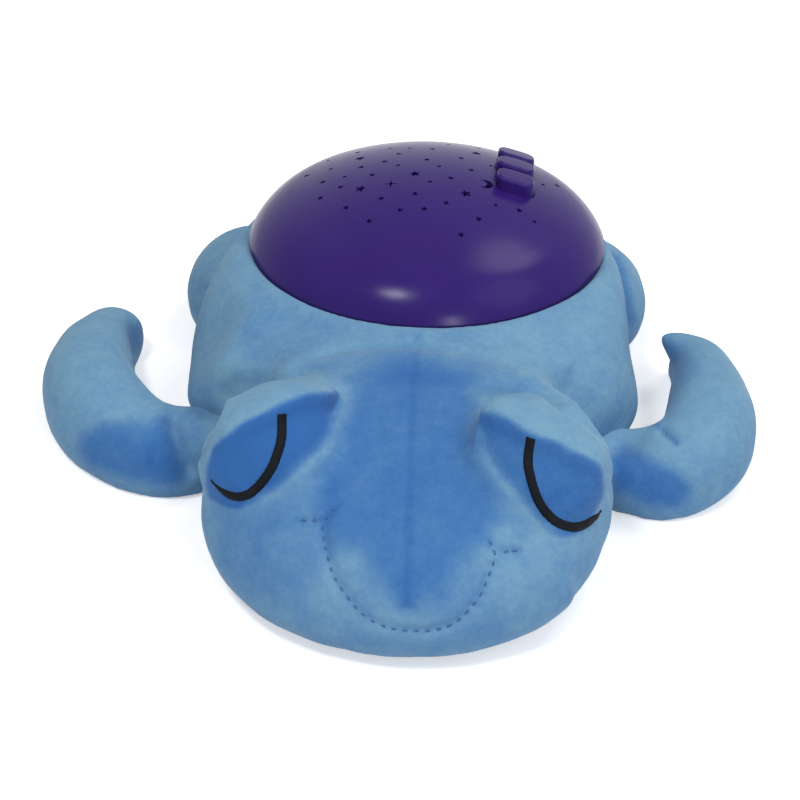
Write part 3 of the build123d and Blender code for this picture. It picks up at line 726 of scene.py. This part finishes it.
def makeFlipper(spec):
    spec = {**flipperShared, **spec, "nodes": ((spec["node"], 0.0),)}
    piece = makeSoft(spec, flipperHeld)
    points, normals = readPoints(piece), readNormals(piece)
    distance, outward = surfaceGap(trunkTree, points)
    dents = spec["dimple"] * softNoise(points, spec["dimpleSize"], spec["dimpleSeed"])
    near = smoothStep(spec["puckerReach"], 0, distance)
    dents += spec["pucker"] * near * softNoise(points, spec["puckerSize"], spec["puckerSeed"])
    move = normals * (dents * smoothStep(0, spec["tableReach"], points[:, 2]))[:, None]
    tree = treeOf(piece)
    crease = surfaceLine(tree, spec["crease"])
    move += groove(points, normals, crease, spec["depth"], spec["width"], spec["creaseFade"])
    move += fillingMove(tree, points, normals, spec)
    tuck = spec["tuck"] * smoothStep(*spec["tuckReach"], distance)
    points += move - outward * tuck[:, None]
    points[:, 2] = np.maximum(points[:, 2], 0)
    writePoints(piece, points)
    return piece


flippers = [makeFlipper(spec) for spec in flipperSpecs]
print("flippers made")


# threads
def ringSolid(rings, points, faces):
    # a closed solid through rings of points, added to lists that may already hold others
    start = len(points)
    count, around = rings.shape[:2]
    points += [tuple(point) for ring in rings for point in ring]
    for row in range(count - 1):
        for index in range(around):
            after = (index + 1) % around
            here, there = start + row * around, start + (row + 1) * around
            faces.append((here + index, here + after, there + after, there + index))
    faces.append(tuple(start + index for index in reversed(range(around))))
    faces.append(tuple(start + (count - 1) * around + index for index in range(around)))


def solidPiece(name, points, faces):
    mesh = bpy.data.meshes.new(name)
    mesh.from_pydata(points, [], faces)
    shape = bmesh.new()
    shape.from_mesh(mesh)
    bmesh.ops.recalc_face_normals(shape, faces=shape.faces)
    shape.to_mesh(mesh)
    shape.free()
    return addPiece(name, mesh)


smoothRows = 15


def lineFrames(tree, line):
    # places on the surface with smoothed normals, and the way across the line
    places, normals = onSurface(tree, line)
    window = min(smoothRows, len(line) // 2 * 2 - 1)
    edge = window // 2
    longer = np.concatenate([np.repeat(normals[:1], edge, 0), normals, np.repeat(normals[-1:], edge, 0)])
    normals = np.stack([np.convolve(longer[:, axis], np.ones(window) / window, "valid") for axis in range(3)], 1)
    normals /= np.linalg.norm(normals, axis=1)[:, None]
    along = np.gradient(places, axis=0)
    along /= np.linalg.norm(along, axis=1)[:, None]
    across = np.cross(normals, along)
    across /= np.linalg.norm(across, axis=1)[:, None]
    return places, normals, across


# closed eyes: a bow of satin stitch on each hood, tapered at its outer end
lidSpecs = [
    {
        "name": "eyelid_thread_left", "node": "eyelid_stitch_left",
        "path": (
            (282, 414), (282, 425), (282, 435), (280, 446), (277, 455), (273, 466), (266, 477), (259, 486), (251, 493),
            (244, 496), (237, 497), (229, 495), (222, 491), (216, 486), (211, 480)),
    },
    {
        "name": "eyelid_thread_right", "node": "eyelid_stitch_right",
        "path": (
            (531, 438), (529, 447), (528, 457), (528, 466), (530, 475), (533, 487), (537, 498), (543, 509), (551, 518),
            (560, 524), (570, 527), (578, 527), (586, 524), (594, 518), (601, 511)),
    },
]
lidShared = {
    "width": 3.1 * mm,
    "rise": 0.75 * mm,
    "sink": 0.7 * mm,
    "threadPitch": 0.45 * mm,
    "threadDepth": 0.13 * mm,
    "rowsPerThread": 5,
    "slant": 0.7,
    "aroundTop": 13,
    "roundness": 0.96,
    "ragged": 0.07,
    "raggedWaves": (2.4, 0.9),
    "taperFrom": 0.80,
    "tipWidth": 0.35,
}


def makeLid(spec):
    step = lidShared["threadPitch"] / lidShared["rowsPerThread"]
    line = spacedLine(castPixels(coverTree, spec["path"]), step)
    places, normals, across = lineFrames(coverTree, line)
    count = len(places)
    share = np.linspace(0, 1, count)
    taper = 1 - (1 - lidShared["tipWidth"]) * smoothStep(lidShared["taperFrom"], 1, share)
    thread = np.arange(count) // lidShared["rowsPerThread"]
    fast, slow = lidShared["raggedWaves"]
    ragged = 1 + lidShared["ragged"] * np.sin(thread * fast) * np.cos(thread * slow)
    half = lidShared["width"] / 2 * taper * ragged
    spots = np.linspace(-1, 1, lidShared["aroundTop"])
    rings = []
    for row in range(count):
        base = [places[row] + across[row] * spot * half[row] for spot in spots]
        ground = onSurface(coverTree, base)[0]
        turn = (row / lidShared["rowsPerThread"] + spots * lidShared["slant"]) % 1
        ridge = np.sqrt(np.maximum(1 - (2 * turn - 1) ** 2, 0)) - 1
        height = lidShared["rise"] * taper[row] * np.sqrt(1 - spots ** 2 * lidShared["roundness"])
        height += lidShared["threadDepth"] * ridge
        top = ground + normals[row] * height[:, None]
        low = ground[::-1] - normals[row] * lidShared["sink"]
        rings.append(np.concatenate([top, low]))
    points, faces = [], []
    ringSolid(np.array(rings), points, faces)
    return solidPiece(spec["name"], points, faces)


lids = [makeLid(spec) for spec in lidSpecs]
print("eyelids stitched")

# running stitch round the mouth
stitchSpec = {
    "name": "mouth_thread",
    "step": 0.2 * mm,
    "radius": 0.36 * mm,
    "endRadius": 0.7,
    "length": 2.7 * mm,
    "gap": 0.9 * mm,
    "rise": 0.12 * mm,
    "dive": 0.70 * mm,
    "rings": 9,
    "around": 8,
}


def makeStitches():
    points, faces = [], []
    angles = np.linspace(0, 2 * math.pi, stitchSpec["around"], endpoint=False)[:, None]
    for key in sewnLines:
        line = spacedLine(castPixels(coverTree, seamSpec[key]), stitchSpec["step"])
        places, normals, across = lineFrames(coverTree, line)
        last = len(places) - 1
        total = last * stitchSpec["step"]
        count = max(int(round(total / (stitchSpec["length"] + stitchSpec["gap"]))), 1)
        pitch = total / count
        for index in range(count):
            begin = (index * pitch + (pitch - stitchSpec["length"]) / 2) / total
            end = begin + stitchSpec["length"] / total
            rings = []
            for share in np.linspace(0, 1, stitchSpec["rings"]):
                row = int(np.clip(round((begin + (end - begin) * share) * last), 0, last))
                arch = 4 * share * (1 - share)
                middle = places[row] + normals[row] * (stitchSpec["rise"] * arch - stitchSpec["dive"] * (1 - arch))
                radius = stitchSpec["radius"] * (stitchSpec["endRadius"] + (1 - stitchSpec["endRadius"]) * arch)
                rings.append(middle + radius * (np.cos(angles) * across[row] + np.sin(angles) * normals[row]))
            ringSolid(np.array(rings), points, faces)
    return solidPiece(stitchSpec["name"], points, faces)


stitches = makeStitches()
print("mouth stitched")


# tools for materials
def newMaterial(name):
    material = bpy.data.materials.new(name)
    material.use_nodes = True
    return material, material.node_tree, material.node_tree.nodes["Principled BSDF"]


def addNode(tree, kind, inputs=None, **settings):
    node = tree.nodes.new(kind)
    for key, value in settings.items():
        setattr(node, key, value)
    for key, value in (inputs or {}).items():
        if hasattr(value, "is_output"):
            tree.links.new(value, node.inputs[key])
        else:
            node.inputs[key].default_value = value
    return node


def noiseAt(tree, where, scale, detail, roughness):
    return addNode(tree, "ShaderNodeTexNoise", {
        "Vector": where, "Scale": scale, "Detail": detail, "Roughness": roughness}).outputs["Fac"]


def mathNode(tree, kind, first, second, third=0.0):
    return addNode(tree, "ShaderNodeMath", {0: first, 1: second, 2: third}, operation=kind).outputs[0]


def rangeNode(tree, value, low, high):
    return addNode(tree, "ShaderNodeMapRange", {"Value": value, "To Min": low, "To Max": high}).outputs[0]


def mixColours(tree, share, first, second):
    inputs = {0: share, 6: (*first, 1), 7: (*second, 1)}
    return addNode(tree, "ShaderNodeMix", inputs, data_type="RGBA").outputs[2]


def rampNode(tree, share, stops):
    node = addNode(tree, "ShaderNodeValToRGB", {0: share})
    ramp = node.color_ramp
    while len(ramp.elements) < len(stops):
        ramp.elements.new(0.5)
    for element, (place, colour) in zip(ramp.elements, stops):
        element.position = place
        element.color = (*colour, 1)
    return node.outputs[0]


def relief(tree, shader, height, strength, depth):
    bump = addNode(tree, "ShaderNodeBump", {"Height": height, "Strength": strength, "Distance": depth})
    tree.links.new(bump.outputs[0], shader.inputs["Normal"])


# surfaces that several materials share: a fine noise for the relief and a broad one for the shade,
# each with its usual size, its detail and its roughness
grainSpecs = {
    # moulded: a fine grain, and cloudy marks from handling
    "mouldGrain": {"Fine": (0.5 * mm, 3.0, 0.6), "Broad": (20 * mm, 4.0, 0.6), "cloud": (0.2, 0.85)},
    # drawn or turned metal: streaks along one way, and dull spots
    "metalGrain": {"Fine": (0.15 * mm, 2.0, 0.5), "Broad": (2 * mm, 3.0, 0.6), "drawn": (0.06, 1.0, 1.0)},
    # thread: fine fibres, and a slow change of shade
    "threadFibre": {"Fine": (0.08 * mm, 2.0, 0.6), "Broad": (2.5 * mm, 2.0, 0.5)},
}


def makeGrain(name, spec):
    group = bpy.data.node_groups.new(name, "ShaderNodeTree")
    for key in ("Fine", "Broad"):
        size = group.interface.new_socket(key + " Size", in_out="INPUT", socket_type="NodeSocketFloat")
        size.default_value = spec[key][0]
        group.interface.new_socket(key, in_out="OUTPUT", socket_type="NodeSocketFloat")
    given = group.nodes.new("NodeGroupInput").outputs
    result = group.nodes.new("NodeGroupOutput").inputs
    where = addNode(group, "ShaderNodeTexCoord").outputs["Object"]
    places = {"Fine": where, "Broad": where}
    if "drawn" in spec:
        places["Fine"] = addNode(group, "ShaderNodeMapping", {"Vector": where, "Scale": spec["drawn"]}).outputs[0]
    for key, place in places.items():
        value = noiseAt(group, place, mathNode(group, "DIVIDE", 1.0, given[key + " Size"]), *spec[key][1:])
        if key == "Broad" and "cloud" in spec:
            limits = {"Value": value, "From Min": spec["cloud"][0], "From Max": spec["cloud"][1]}
            value = addNode(group, "ShaderNodeMapRange", limits, interpolation_type="SMOOTHSTEP").outputs[0]
        group.links.new(value, result[key])
    return group


grains = {name: makeGrain(name, spec) for name, spec in grainSpecs.items()}


def placeGrain(tree, name, fine, broad):
    return addNode(tree, "ShaderNodeGroup", {"Fine Size": fine, "Broad Size": broad}, node_tree=grains[name]).outputs


# colours and roughness run from the first value to the second; the sizes are fine and broad
plasticSpecs = {
    "dome_plastic": {
        "colours": ((0.028, 0.0105, 0.140), (0.034, 0.0135, 0.158)), "roughness": (0.20, 0.25), "specular": 0.11,
        "sizes": (0.6 * mm, 26 * mm), "bump": 0.04},
    "collar_plastic": {
        "colours": ((0.022, 0.010, 0.110), (0.030, 0.014, 0.130)), "roughness": (0.42, 0.55), "specular": 0.30,
        "sizes": (0.5 * mm, 15 * mm), "bump": 0.10},
    "case_plastic": {
        "colours": ((0.026, 0.012, 0.125), (0.034, 0.017, 0.150)), "roughness": (0.46, 0.62), "specular": 0.30,
        "sizes": (0.45 * mm, 18 * mm), "bump": 0.22},
    "lamp_plastic": {
        "colours": ((0.55, 0.55, 0.53), (0.62, 0.62, 0.60)), "roughness": (0.45, 0.58), "specular": 0.40,
        "sizes": (0.4 * mm, 12 * mm), "bump": 0.12},
    "silicone": {
        "colours": ((0.58, 0.58, 0.55), (0.66, 0.66, 0.63)), "roughness": (0.60, 0.75), "specular": 0.30,
        "sizes": (0.3 * mm, 4 * mm), "bump": 0.08},
    "red_lead": {
        "colours": ((0.42, 0.012, 0.010), (0.50, 0.022, 0.016)), "roughness": (0.42, 0.55), "specular": 0.40,
        "sizes": (0.25 * mm, 6 * mm), "bump": 0.06},
    "black_lead": {
        "colours": ((0.012, 0.012, 0.013), (0.022, 0.022, 0.024)), "roughness": (0.42, 0.55), "specular": 0.40,
        "sizes": (0.25 * mm, 6 * mm), "bump": 0.06},
    "grey_lead": {
        "colours": ((0.22, 0.22, 0.23), (0.28, 0.28, 0.29)), "roughness": (0.45, 0.58), "specular": 0.40,
        "sizes": (0.25 * mm, 6 * mm), "bump": 0.06},
}
metalSpecs = {
    "screw_steel": {
        "colours": ((0.50, 0.50, 0.51), (0.36, 0.36, 0.38)), "roughness": (0.26, 0.46),
        "sizes": (0.12 * mm, 1.6 * mm), "bump": 0.10},
    "contact_steel": {
        "colours": ((0.58, 0.57, 0.54), (0.42, 0.41, 0.39)), "roughness": (0.22, 0.40),
        "sizes": (0.10 * mm, 2.5 * mm), "bump": 0.06},
    "insert_brass": {
        "colours": ((0.62, 0.42, 0.14), (0.44, 0.29, 0.10)), "roughness": (0.28, 0.45),
        "sizes": (0.12 * mm, 1.5 * mm), "bump": 0.10},
    "cell_can": {
        "colours": ((0.48, 0.48, 0.50), (0.36, 0.36, 0.38)), "roughness": (0.24, 0.38),
        "sizes": (0.20 * mm, 8 * mm), "bump": 0.03},
}
threadSpecs = {
    "eye_thread": {
        "colours": ((0.003, 0.004, 0.006), (0.008, 0.010, 0.014)), "roughness": (0.50, 0.65), "specular": 0.10},
    "mouth_thread": {
        "colours": ((0.022, 0.085, 0.260), (0.060, 0.170, 0.380)), "roughness": (0.34, 0.48), "specular": 0.45},
}


threadShared = {"sizes": (0.08 * mm, 2.5 * mm), "bump": 0.3, "bumpDepth": 0.06 * mm}
plainSpecular = 0.5


def shade(tree, shader, spec, colourBy, roughBy):
    tree.links.new(mixColours(tree, colourBy, *spec["colours"]), shader.inputs["Base Color"])
    tree.links.new(rangeNode(tree, roughBy, *spec["roughness"]), shader.inputs["Roughness"])


def makeFinish(name, spec, grain, roughBy):
    material, tree, shader = newMaterial(name)
    layers = placeGrain(tree, grain, *spec["sizes"])
    shade(tree, shader, spec, layers["Broad"], layers[roughBy])
    relief(tree, shader, layers["Fine"], spec["bump"], spec.get("bumpDepth", spec["sizes"][0]))
    shader.inputs["Specular IOR Level"].default_value = spec.get("specular", plainSpecular)
    if grain == "metalGrain":
        shader.inputs["Metallic"].default_value = 1.0
    return material


boardSpec = {
    "colours": ((0.012, 0.105, 0.040), (0.022, 0.170, 0.062)), "roughness": (0.30, 0.42), "sizes": (0.3 * mm, 6 * mm),
    "trackPitch": 1.6 * mm, "trackGap": 0.12, "trackLength": 2.6, "grainShare": 0.2, "bump": 0.3, "bumpDepth": 0.05 * mm,
}


def makeBoard():
    material, tree, shader = newMaterial("circuit_board")
    where = addNode(tree, "ShaderNodeTexCoord").outputs["Object"]
    tracks = addNode(tree, "ShaderNodeTexBrick", {
        "Vector": where, "Scale": 1 / boardSpec["trackPitch"], "Mortar Size": boardSpec["trackGap"],
        "Brick Width": boardSpec["trackLength"], "Row Height": 1.0}).outputs["Fac"]
    layers = placeGrain(tree, "mouldGrain", *boardSpec["sizes"])
    shade(tree, shader, boardSpec, tracks, layers["Broad"])
    height = mathNode(tree, "MULTIPLY_ADD", layers["Fine"], boardSpec["grainShare"], tracks)
    relief(tree, shader, height, boardSpec["bump"], boardSpec["bumpDepth"])
    return material


resinSpec = {
    "colours": ((0.90, 0.90, 0.86), (0.80, 0.80, 0.74)), "roughness": (0.10, 0.22), "sizes": (0.4 * mm, 3 * mm),
    "clear": 0.7, "bend": 1.5,
}


def makeResin():
    # clear lamp body, a little cloudy
    material, tree, shader = newMaterial("led_resin")
    cloud = placeGrain(tree, "mouldGrain", *resinSpec["sizes"])["Broad"]
    shade(tree, shader, resinSpec, cloud, cloud)
    shader.inputs["Transmission Weight"].default_value = resinSpec["clear"]
    shader.inputs["IOR"].default_value = resinSpec["bend"]
    return material


# short pile: its tone runs from deep, where it is brushed towards the eye, to pale, where it lies away; the tone that
# each point is given also holds painted light and shade
plushSpec = {
    "tones": (
        (0.0, (0.034, 0.136, 0.400)), (0.33, (0.062, 0.186, 0.435)), (0.66, (0.112, 0.258, 0.470)),
        (1.0, (0.185, 0.360, 0.510))),
    "sheen": 0.25,
    "sheenRoughness": 0.40,
    "sheenTint": (0.72, 0.88, 1.0),
    "specular": 0.12,
    "roughness": (0.85, 1.0),
    # size, change of tone and detail of each layer
    "layers": {
        "brush": (18 * mm, 0.30, 3.0), "mottle": (6 * mm, 0.34, 3.0), "tuft": (2.0 * mm, 0.32, 2.0),
        "fibre": (0.4 * mm, 0.26, 2.0)},
    "layerRoughness": 0.55,
    "tuftShare": 0.7,
    "bump": 0.40,
    "bumpDepth": 0.40 * mm,
}


def makePlush():
    material, tree, shader = newMaterial("plush")
    where = addNode(tree, "ShaderNodeTexCoord").outputs["Object"]
    tone = addNode(tree, "ShaderNodeAttribute", attribute_name="napAndShade").outputs["Fac"]
    layers = {}
    for key, (size, change, detail) in plushSpec["layers"].items():
        layers[key] = noiseAt(tree, where, 1 / size, detail, plushSpec["layerRoughness"])
        tone = mathNode(tree, "ADD", tone, mathNode(tree, "MULTIPLY_ADD", layers[key], change, -change / 2))
    tree.links.new(rampNode(tree, tone, plushSpec["tones"]), shader.inputs["Base Color"])
    tree.links.new(rangeNode(tree, layers["fibre"], *plushSpec["roughness"]), shader.inputs["Roughness"])
    height = mathNode(tree, "MULTIPLY_ADD", layers["tuft"], plushSpec["tuftShare"], layers["fibre"])
    relief(tree, shader, height, plushSpec["bump"], plushSpec["bumpDepth"])
    shader.inputs["Specular IOR Level"].default_value = plushSpec["specular"]
    shader.inputs["Sheen Weight"].default_value = plushSpec["sheen"]
    shader.inputs["Sheen Roughness"].default_value = plushSpec["sheenRoughness"]
    shader.inputs["Sheen Tint"].default_value = (*plushSpec["sheenTint"], 1)
    return material


# tone of the pile, partly its nap and partly painted light and shade: outlines in the picture, with a soft edge in
# pixels and a change of tone. Where the pile is brushed the other way it is darker or paler; the face's front, the
# lids, the flipper fronts and the left side are also darker as painted shade, and crease lines are painted shade
napShadeSpec = {
    "base": 0.76,
    # upward: painted light, the pile paler where its surface faces up
    "upward": 0.14,
    "paintedTopLightRange": (-0.2, 0.9),
    # seam: painted shade along the centre seam and the mouth's stitch lines
    "seam": -0.20,
    "seamReach": 1.3 * mm,
    "plush_cover": (
        (((400, 358), (353, 383), (340, 435), (317, 490), (322, 515), (330, 547), (359, 551), (374, 578), (391, 597),
          (399, 608), (416, 608), (446, 595), (456, 568), (471, 559), (486, 536), (498, 519), (492, 486), (479, 465),
          (475, 420), (469, 378), (437, 364), (418, 360)), 17, -0.60),
        (((335, 466), (338, 500), (330, 522), (300, 510), (284, 496), (300, 474), (318, 458)), 11, -0.20),
        (((476, 425), (482, 460), (500, 490), (534, 528), (522, 546), (498, 520), (485, 480)), 11, -0.18),
        (((215, 520), (300, 500), (322, 520), (330, 560), (300, 600), (250, 600), (215, 560)), 20, -0.26),
        (((250, 535), (262, 530), (268, 560), (258, 570)), 8, -0.14),
        # painted shade along the neck's crease
        (((300, 367), (345, 352), (415, 346), (482, 357), (522, 373), (547, 389), (520, 396), (500, 394), (470, 388),
          (420, 382), (345, 384), (322, 374)), 8, -0.22),
        # painted shade on the body's left front, below the dome's rim
        (((255, 285), (300, 306), (350, 322), (400, 328), (470, 328), (482, 346), (415, 338), (345, 344), (300, 358),
          (262, 366), (236, 345)), 15, -0.17),
        (((215, 508), (290, 497), (300, 520), (270, 536), (225, 530)), 8, -0.16),
        (((440, 600), (458, 572), (480, 570), (484, 590), (462, 615), (440, 622)), 12, -0.20),
        (((455, 632), (480, 605), (500, 600), (505, 620), (480, 640)), 10, -0.14),
        (((520, 560), (560, 545), (590, 560), (570, 600), (530, 600)), 16, -0.10),
        (((345, 560), (366, 570), (385, 600), (370, 612), (350, 595)), 12, -0.10),
        (((330, 640), (420, 655), (520, 640), (500, 628), (420, 640), (350, 630)), 12, -0.12),
        # painted light: a paler patch on the body beside the left brow
        (((216, 376), (228, 372), (240, 384), (230, 400), (214, 394)), 7, 0.22),
    ),
    # front flippers: the lower front darker, partly the pile's nap and partly painted shade, and darker near the root
    "plush_flipper_front_left": (
        (((80, 452), (84, 432), (103, 424), (128, 422), (150, 424), (168, 412), (171, 432), (178, 458), (189, 478),
          (170, 485), (142, 480), (114, 474), (90, 466)), 10, -0.57),
        (((142, 448), (168, 436), (176, 444), (184, 468), (172, 478), (146, 467)), 8, -0.22),
        (((174, 412), (188, 402), (206, 408), (206, 440), (196, 470), (184, 452)), 8, -0.20),
        (((128, 318), (140, 330), (138, 352), (128, 345)), 8, -0.25),
    ),
    "plush_flipper_front_right": (
        (((609, 460), (622, 446), (640, 452), (658, 464), (682, 476), (688, 490), (676, 504), (644, 500),
          (616, 490)), 10, -0.58),
        (((611, 458), (622, 455), (632, 478), (618, 488)), 8, -0.20),
        (((640, 498), (690, 490), (690, 508), (656, 512)), 8, -0.16),
        # painted shade along the crease at the flipper's root
        (((649, 419), (654, 419), (680, 444), (677, 447)), 2.5, -0.42),
        (((664, 340), (690, 352), (697, 366), (684, 385), (672, 380)), 9, -0.22),
    ),
    "plush_flipper_rear_left": (),
    "plush_flipper_rear_right": (
        # painted shade along the crease between the body and the flipper
        (((612, 255), (620, 256), (632, 298), (636, 322), (624, 330), (618, 300)), 6, -0.45),
    ),
}


def brushNapAndShade(piece, tones=None):
    points, normals = readPoints(piece), readNormals(piece)
    facing = facingShare(points, normals)
    # the pile's base tone, with painted light where a surface faces up, then the outlines of nap and painted shade
    napAndShade = napShadeSpec["base"] + napShadeSpec["upward"] * smoothStep(*napShadeSpec["paintedTopLightRange"], normals[:, 2])
    for outline, soft, change in napShadeSpec[piece.name]:
        napAndShade += change * outlineShare(points, outline, soft) * facing
    if tones is not None:
        napAndShade += tones
        # painted shade along the seams
        for key in ("centre", *sewnLines):
            napAndShade += napShadeSpec["seam"] * bell(nearLine(points, seamLines[key])[0], napShadeSpec["seamReach"])
    attribute = piece.data.attributes.new("napAndShade", "FLOAT", "POINT")
    attribute.data.foreach_set("value", napAndShade.astype(np.float32))


plush = makePlush()


def wear(piece, material, slot, *replaced):
    piece.data.materials.clear()
    piece.data.materials.append(material)
    piece.data.polygons.foreach_set("use_smooth", [True] * len(piece.data.polygons))
    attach(piece, "projector")
    if replaced:
        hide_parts(*replaced)


brushNapAndShade(cover, hoodNapAndShade)
wear(cover, plush, "plush", *[node for node, growth in coverSpec["nodes"]])
for piece, spec in zip(flippers, flipperSpecs):
    brushNapAndShade(piece)
    wear(piece, plush, "plush", spec["node"])
threads = {
    name: makeFinish(name, {**threadShared, **spec}, "threadFibre", "Fine") for name, spec in threadSpecs.items()}
for piece, spec in zip(lids, lidSpecs):
    wear(piece, threads["eye_thread"], "eye_thread", spec["node"])
wear(stitches, threads["mouth_thread"], "plush")
print("plush and threads finished")

# the hard pieces keep their solids and get their finish here
hardFinishes = {
    "dome_plastic": ("dome_shell", "button_front", "button_middle", "button_rear"),
    "circuit_board": ("control_board", "lamp_board"),
    "screw_steel": ("control_board_screws", "case_screws", "lamp_post_screws", "lamp_board_screws", "door_screws"),
    "collar_plastic": ("hem_collar",),
    "case_plastic": ("base_case", "battery_door"),
    "lamp_plastic": ("lamp_post",),
    "led_resin": ("leds",),
    "cell_can": ("battery_front", "battery_middle", "battery_rear"),
    "contact_steel": ("contact_plates", "contact_leaves"),
    "insert_brass": ("door_inserts",),
    "red_lead": ("battery_lead_red",),
    "black_lead": ("battery_lead_black",),
    "grey_lead": ("control_lead",),
}
finishes = {name: makeFinish(name, spec, "mouldGrain", "Broad") for name, spec in plasticSpecs.items()}
finishes.update({name: makeFinish(name, spec, "metalGrain", "Fine") for name, spec in metalSpecs.items()})
finishes["circuit_board"] = makeBoard()
finishes["led_resin"] = makeResin()
for finish, names in hardFinishes.items():
    for name in names:
        for slot in nodes[name].material_slots:
            slot.material = finishes[finish]
print("hard pieces finished")

# the silicone domes stand as in CAD
keySpec = {"places": ("front", "middle", "rear"), "travel": 1.5 * mm, "spare": 0.05 * mm}


def makeKeyDome(place):
    node = "key_dome_" + place
    piece = copyNodes("silicone_dome_" + place, ((node, 0.0),))
    piece.data.materials.append(finishes["silicone"])
    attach(piece, "projector")
    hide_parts(node)
    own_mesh(piece)


for place in keySpec["places"]:
    makeKeyDome(place)
print("key domes made")

# stage
stageSpec = {"world": 0.33, "floor": 0.9, "floorGlow": 0.46, "floorSize": 40.0, "aim": (0, -0.04, 0.05)}
lampSpecs = [
    {"name": "key", "turn": -25, "rise": 57, "away": 1.1, "size": 0.18, "power": 4.4},
    {"name": "side", "turn": 68, "rise": 42, "away": 1.3, "size": 0.8, "power": 2.4},
    {"name": "window", "turn": 122, "rise": 58, "away": 1.4, "size": 0.60, "power": 5.0},
    {"name": "low", "turn": 20, "rise": 25, "away": 1.1, "size": 0.10, "power": 1.8},
]


def seenShare(tree):
    # 1 for rays that show the background itself or its reflection
    path = addNode(tree, "ShaderNodeLightPath")
    seen = mathNode(tree, "MAXIMUM", path.outputs["Is Camera Ray"], path.outputs["Is Glossy Ray"])
    return mathNode(tree, "MAXIMUM", seen, path.outputs["Is Transmission Ray"])


def makeWorld():
    world = bpy.data.worlds.new("studio")
    scene.world = world
    world.use_nodes = True
    tree = world.node_tree
    strength = mathNode(tree, "MULTIPLY_ADD", seenShare(tree), 1 - stageSpec["world"], stageSpec["world"])
    tree.links.new(strength, tree.nodes["Background"].inputs["Strength"])
    tree.nodes["Background"].inputs["Color"].default_value = (1, 1, 1, 1)


def makeFloor():
    half = stageSpec["floorSize"] / 2
    mesh = bpy.data.meshes.new("floor")
    mesh.from_pydata([(-half, -half, 0), (half, -half, 0), (half, half, 0), (-half, half, 0)], [], [(0, 1, 2, 3)])
    floor = addPiece("floor", mesh)
    material, tree, shader = newMaterial("floor")
    tree.nodes.clear()
    glow = mathNode(tree, "MULTIPLY", seenShare(tree), stageSpec["floorGlow"])
    white = addNode(tree, "ShaderNodeBsdfDiffuse", {"Color": (stageSpec["floor"],) * 3 + (1,)})
    light = addNode(tree, "ShaderNodeEmission", {"Strength": glow})
    both = addNode(tree, "ShaderNodeAddShader", {0: white.outputs[0], 1: light.outputs[0]})
    addNode(tree, "ShaderNodeOutputMaterial", {"Surface": both.outputs[0]})
    mesh.materials.append(material)


def makeLamp(spec):
    turn, rise = math.radians(spec["turn"]), math.radians(spec["rise"])
    towards = Vector((math.sin(turn) * math.cos(rise), -math.cos(turn) * math.cos(rise), math.sin(rise)))
    data = bpy.data.lights.new(spec["name"], "AREA")
    data.shape = "DISK"
    data.size = spec["size"]
    data.energy = spec["power"]
    lamp = bpy.data.objects.new(spec["name"], data)
    lamp.location = Vector(stageSpec["aim"]) + towards * spec["away"]
    lamp.rotation_euler = towards.to_track_quat("Z", "Y").to_euler()
    scene.collection.objects.link(lamp)


makeWorld()
makeFloor()
for spec in lampSpecs:
    makeLamp(spec)
print("stage set")
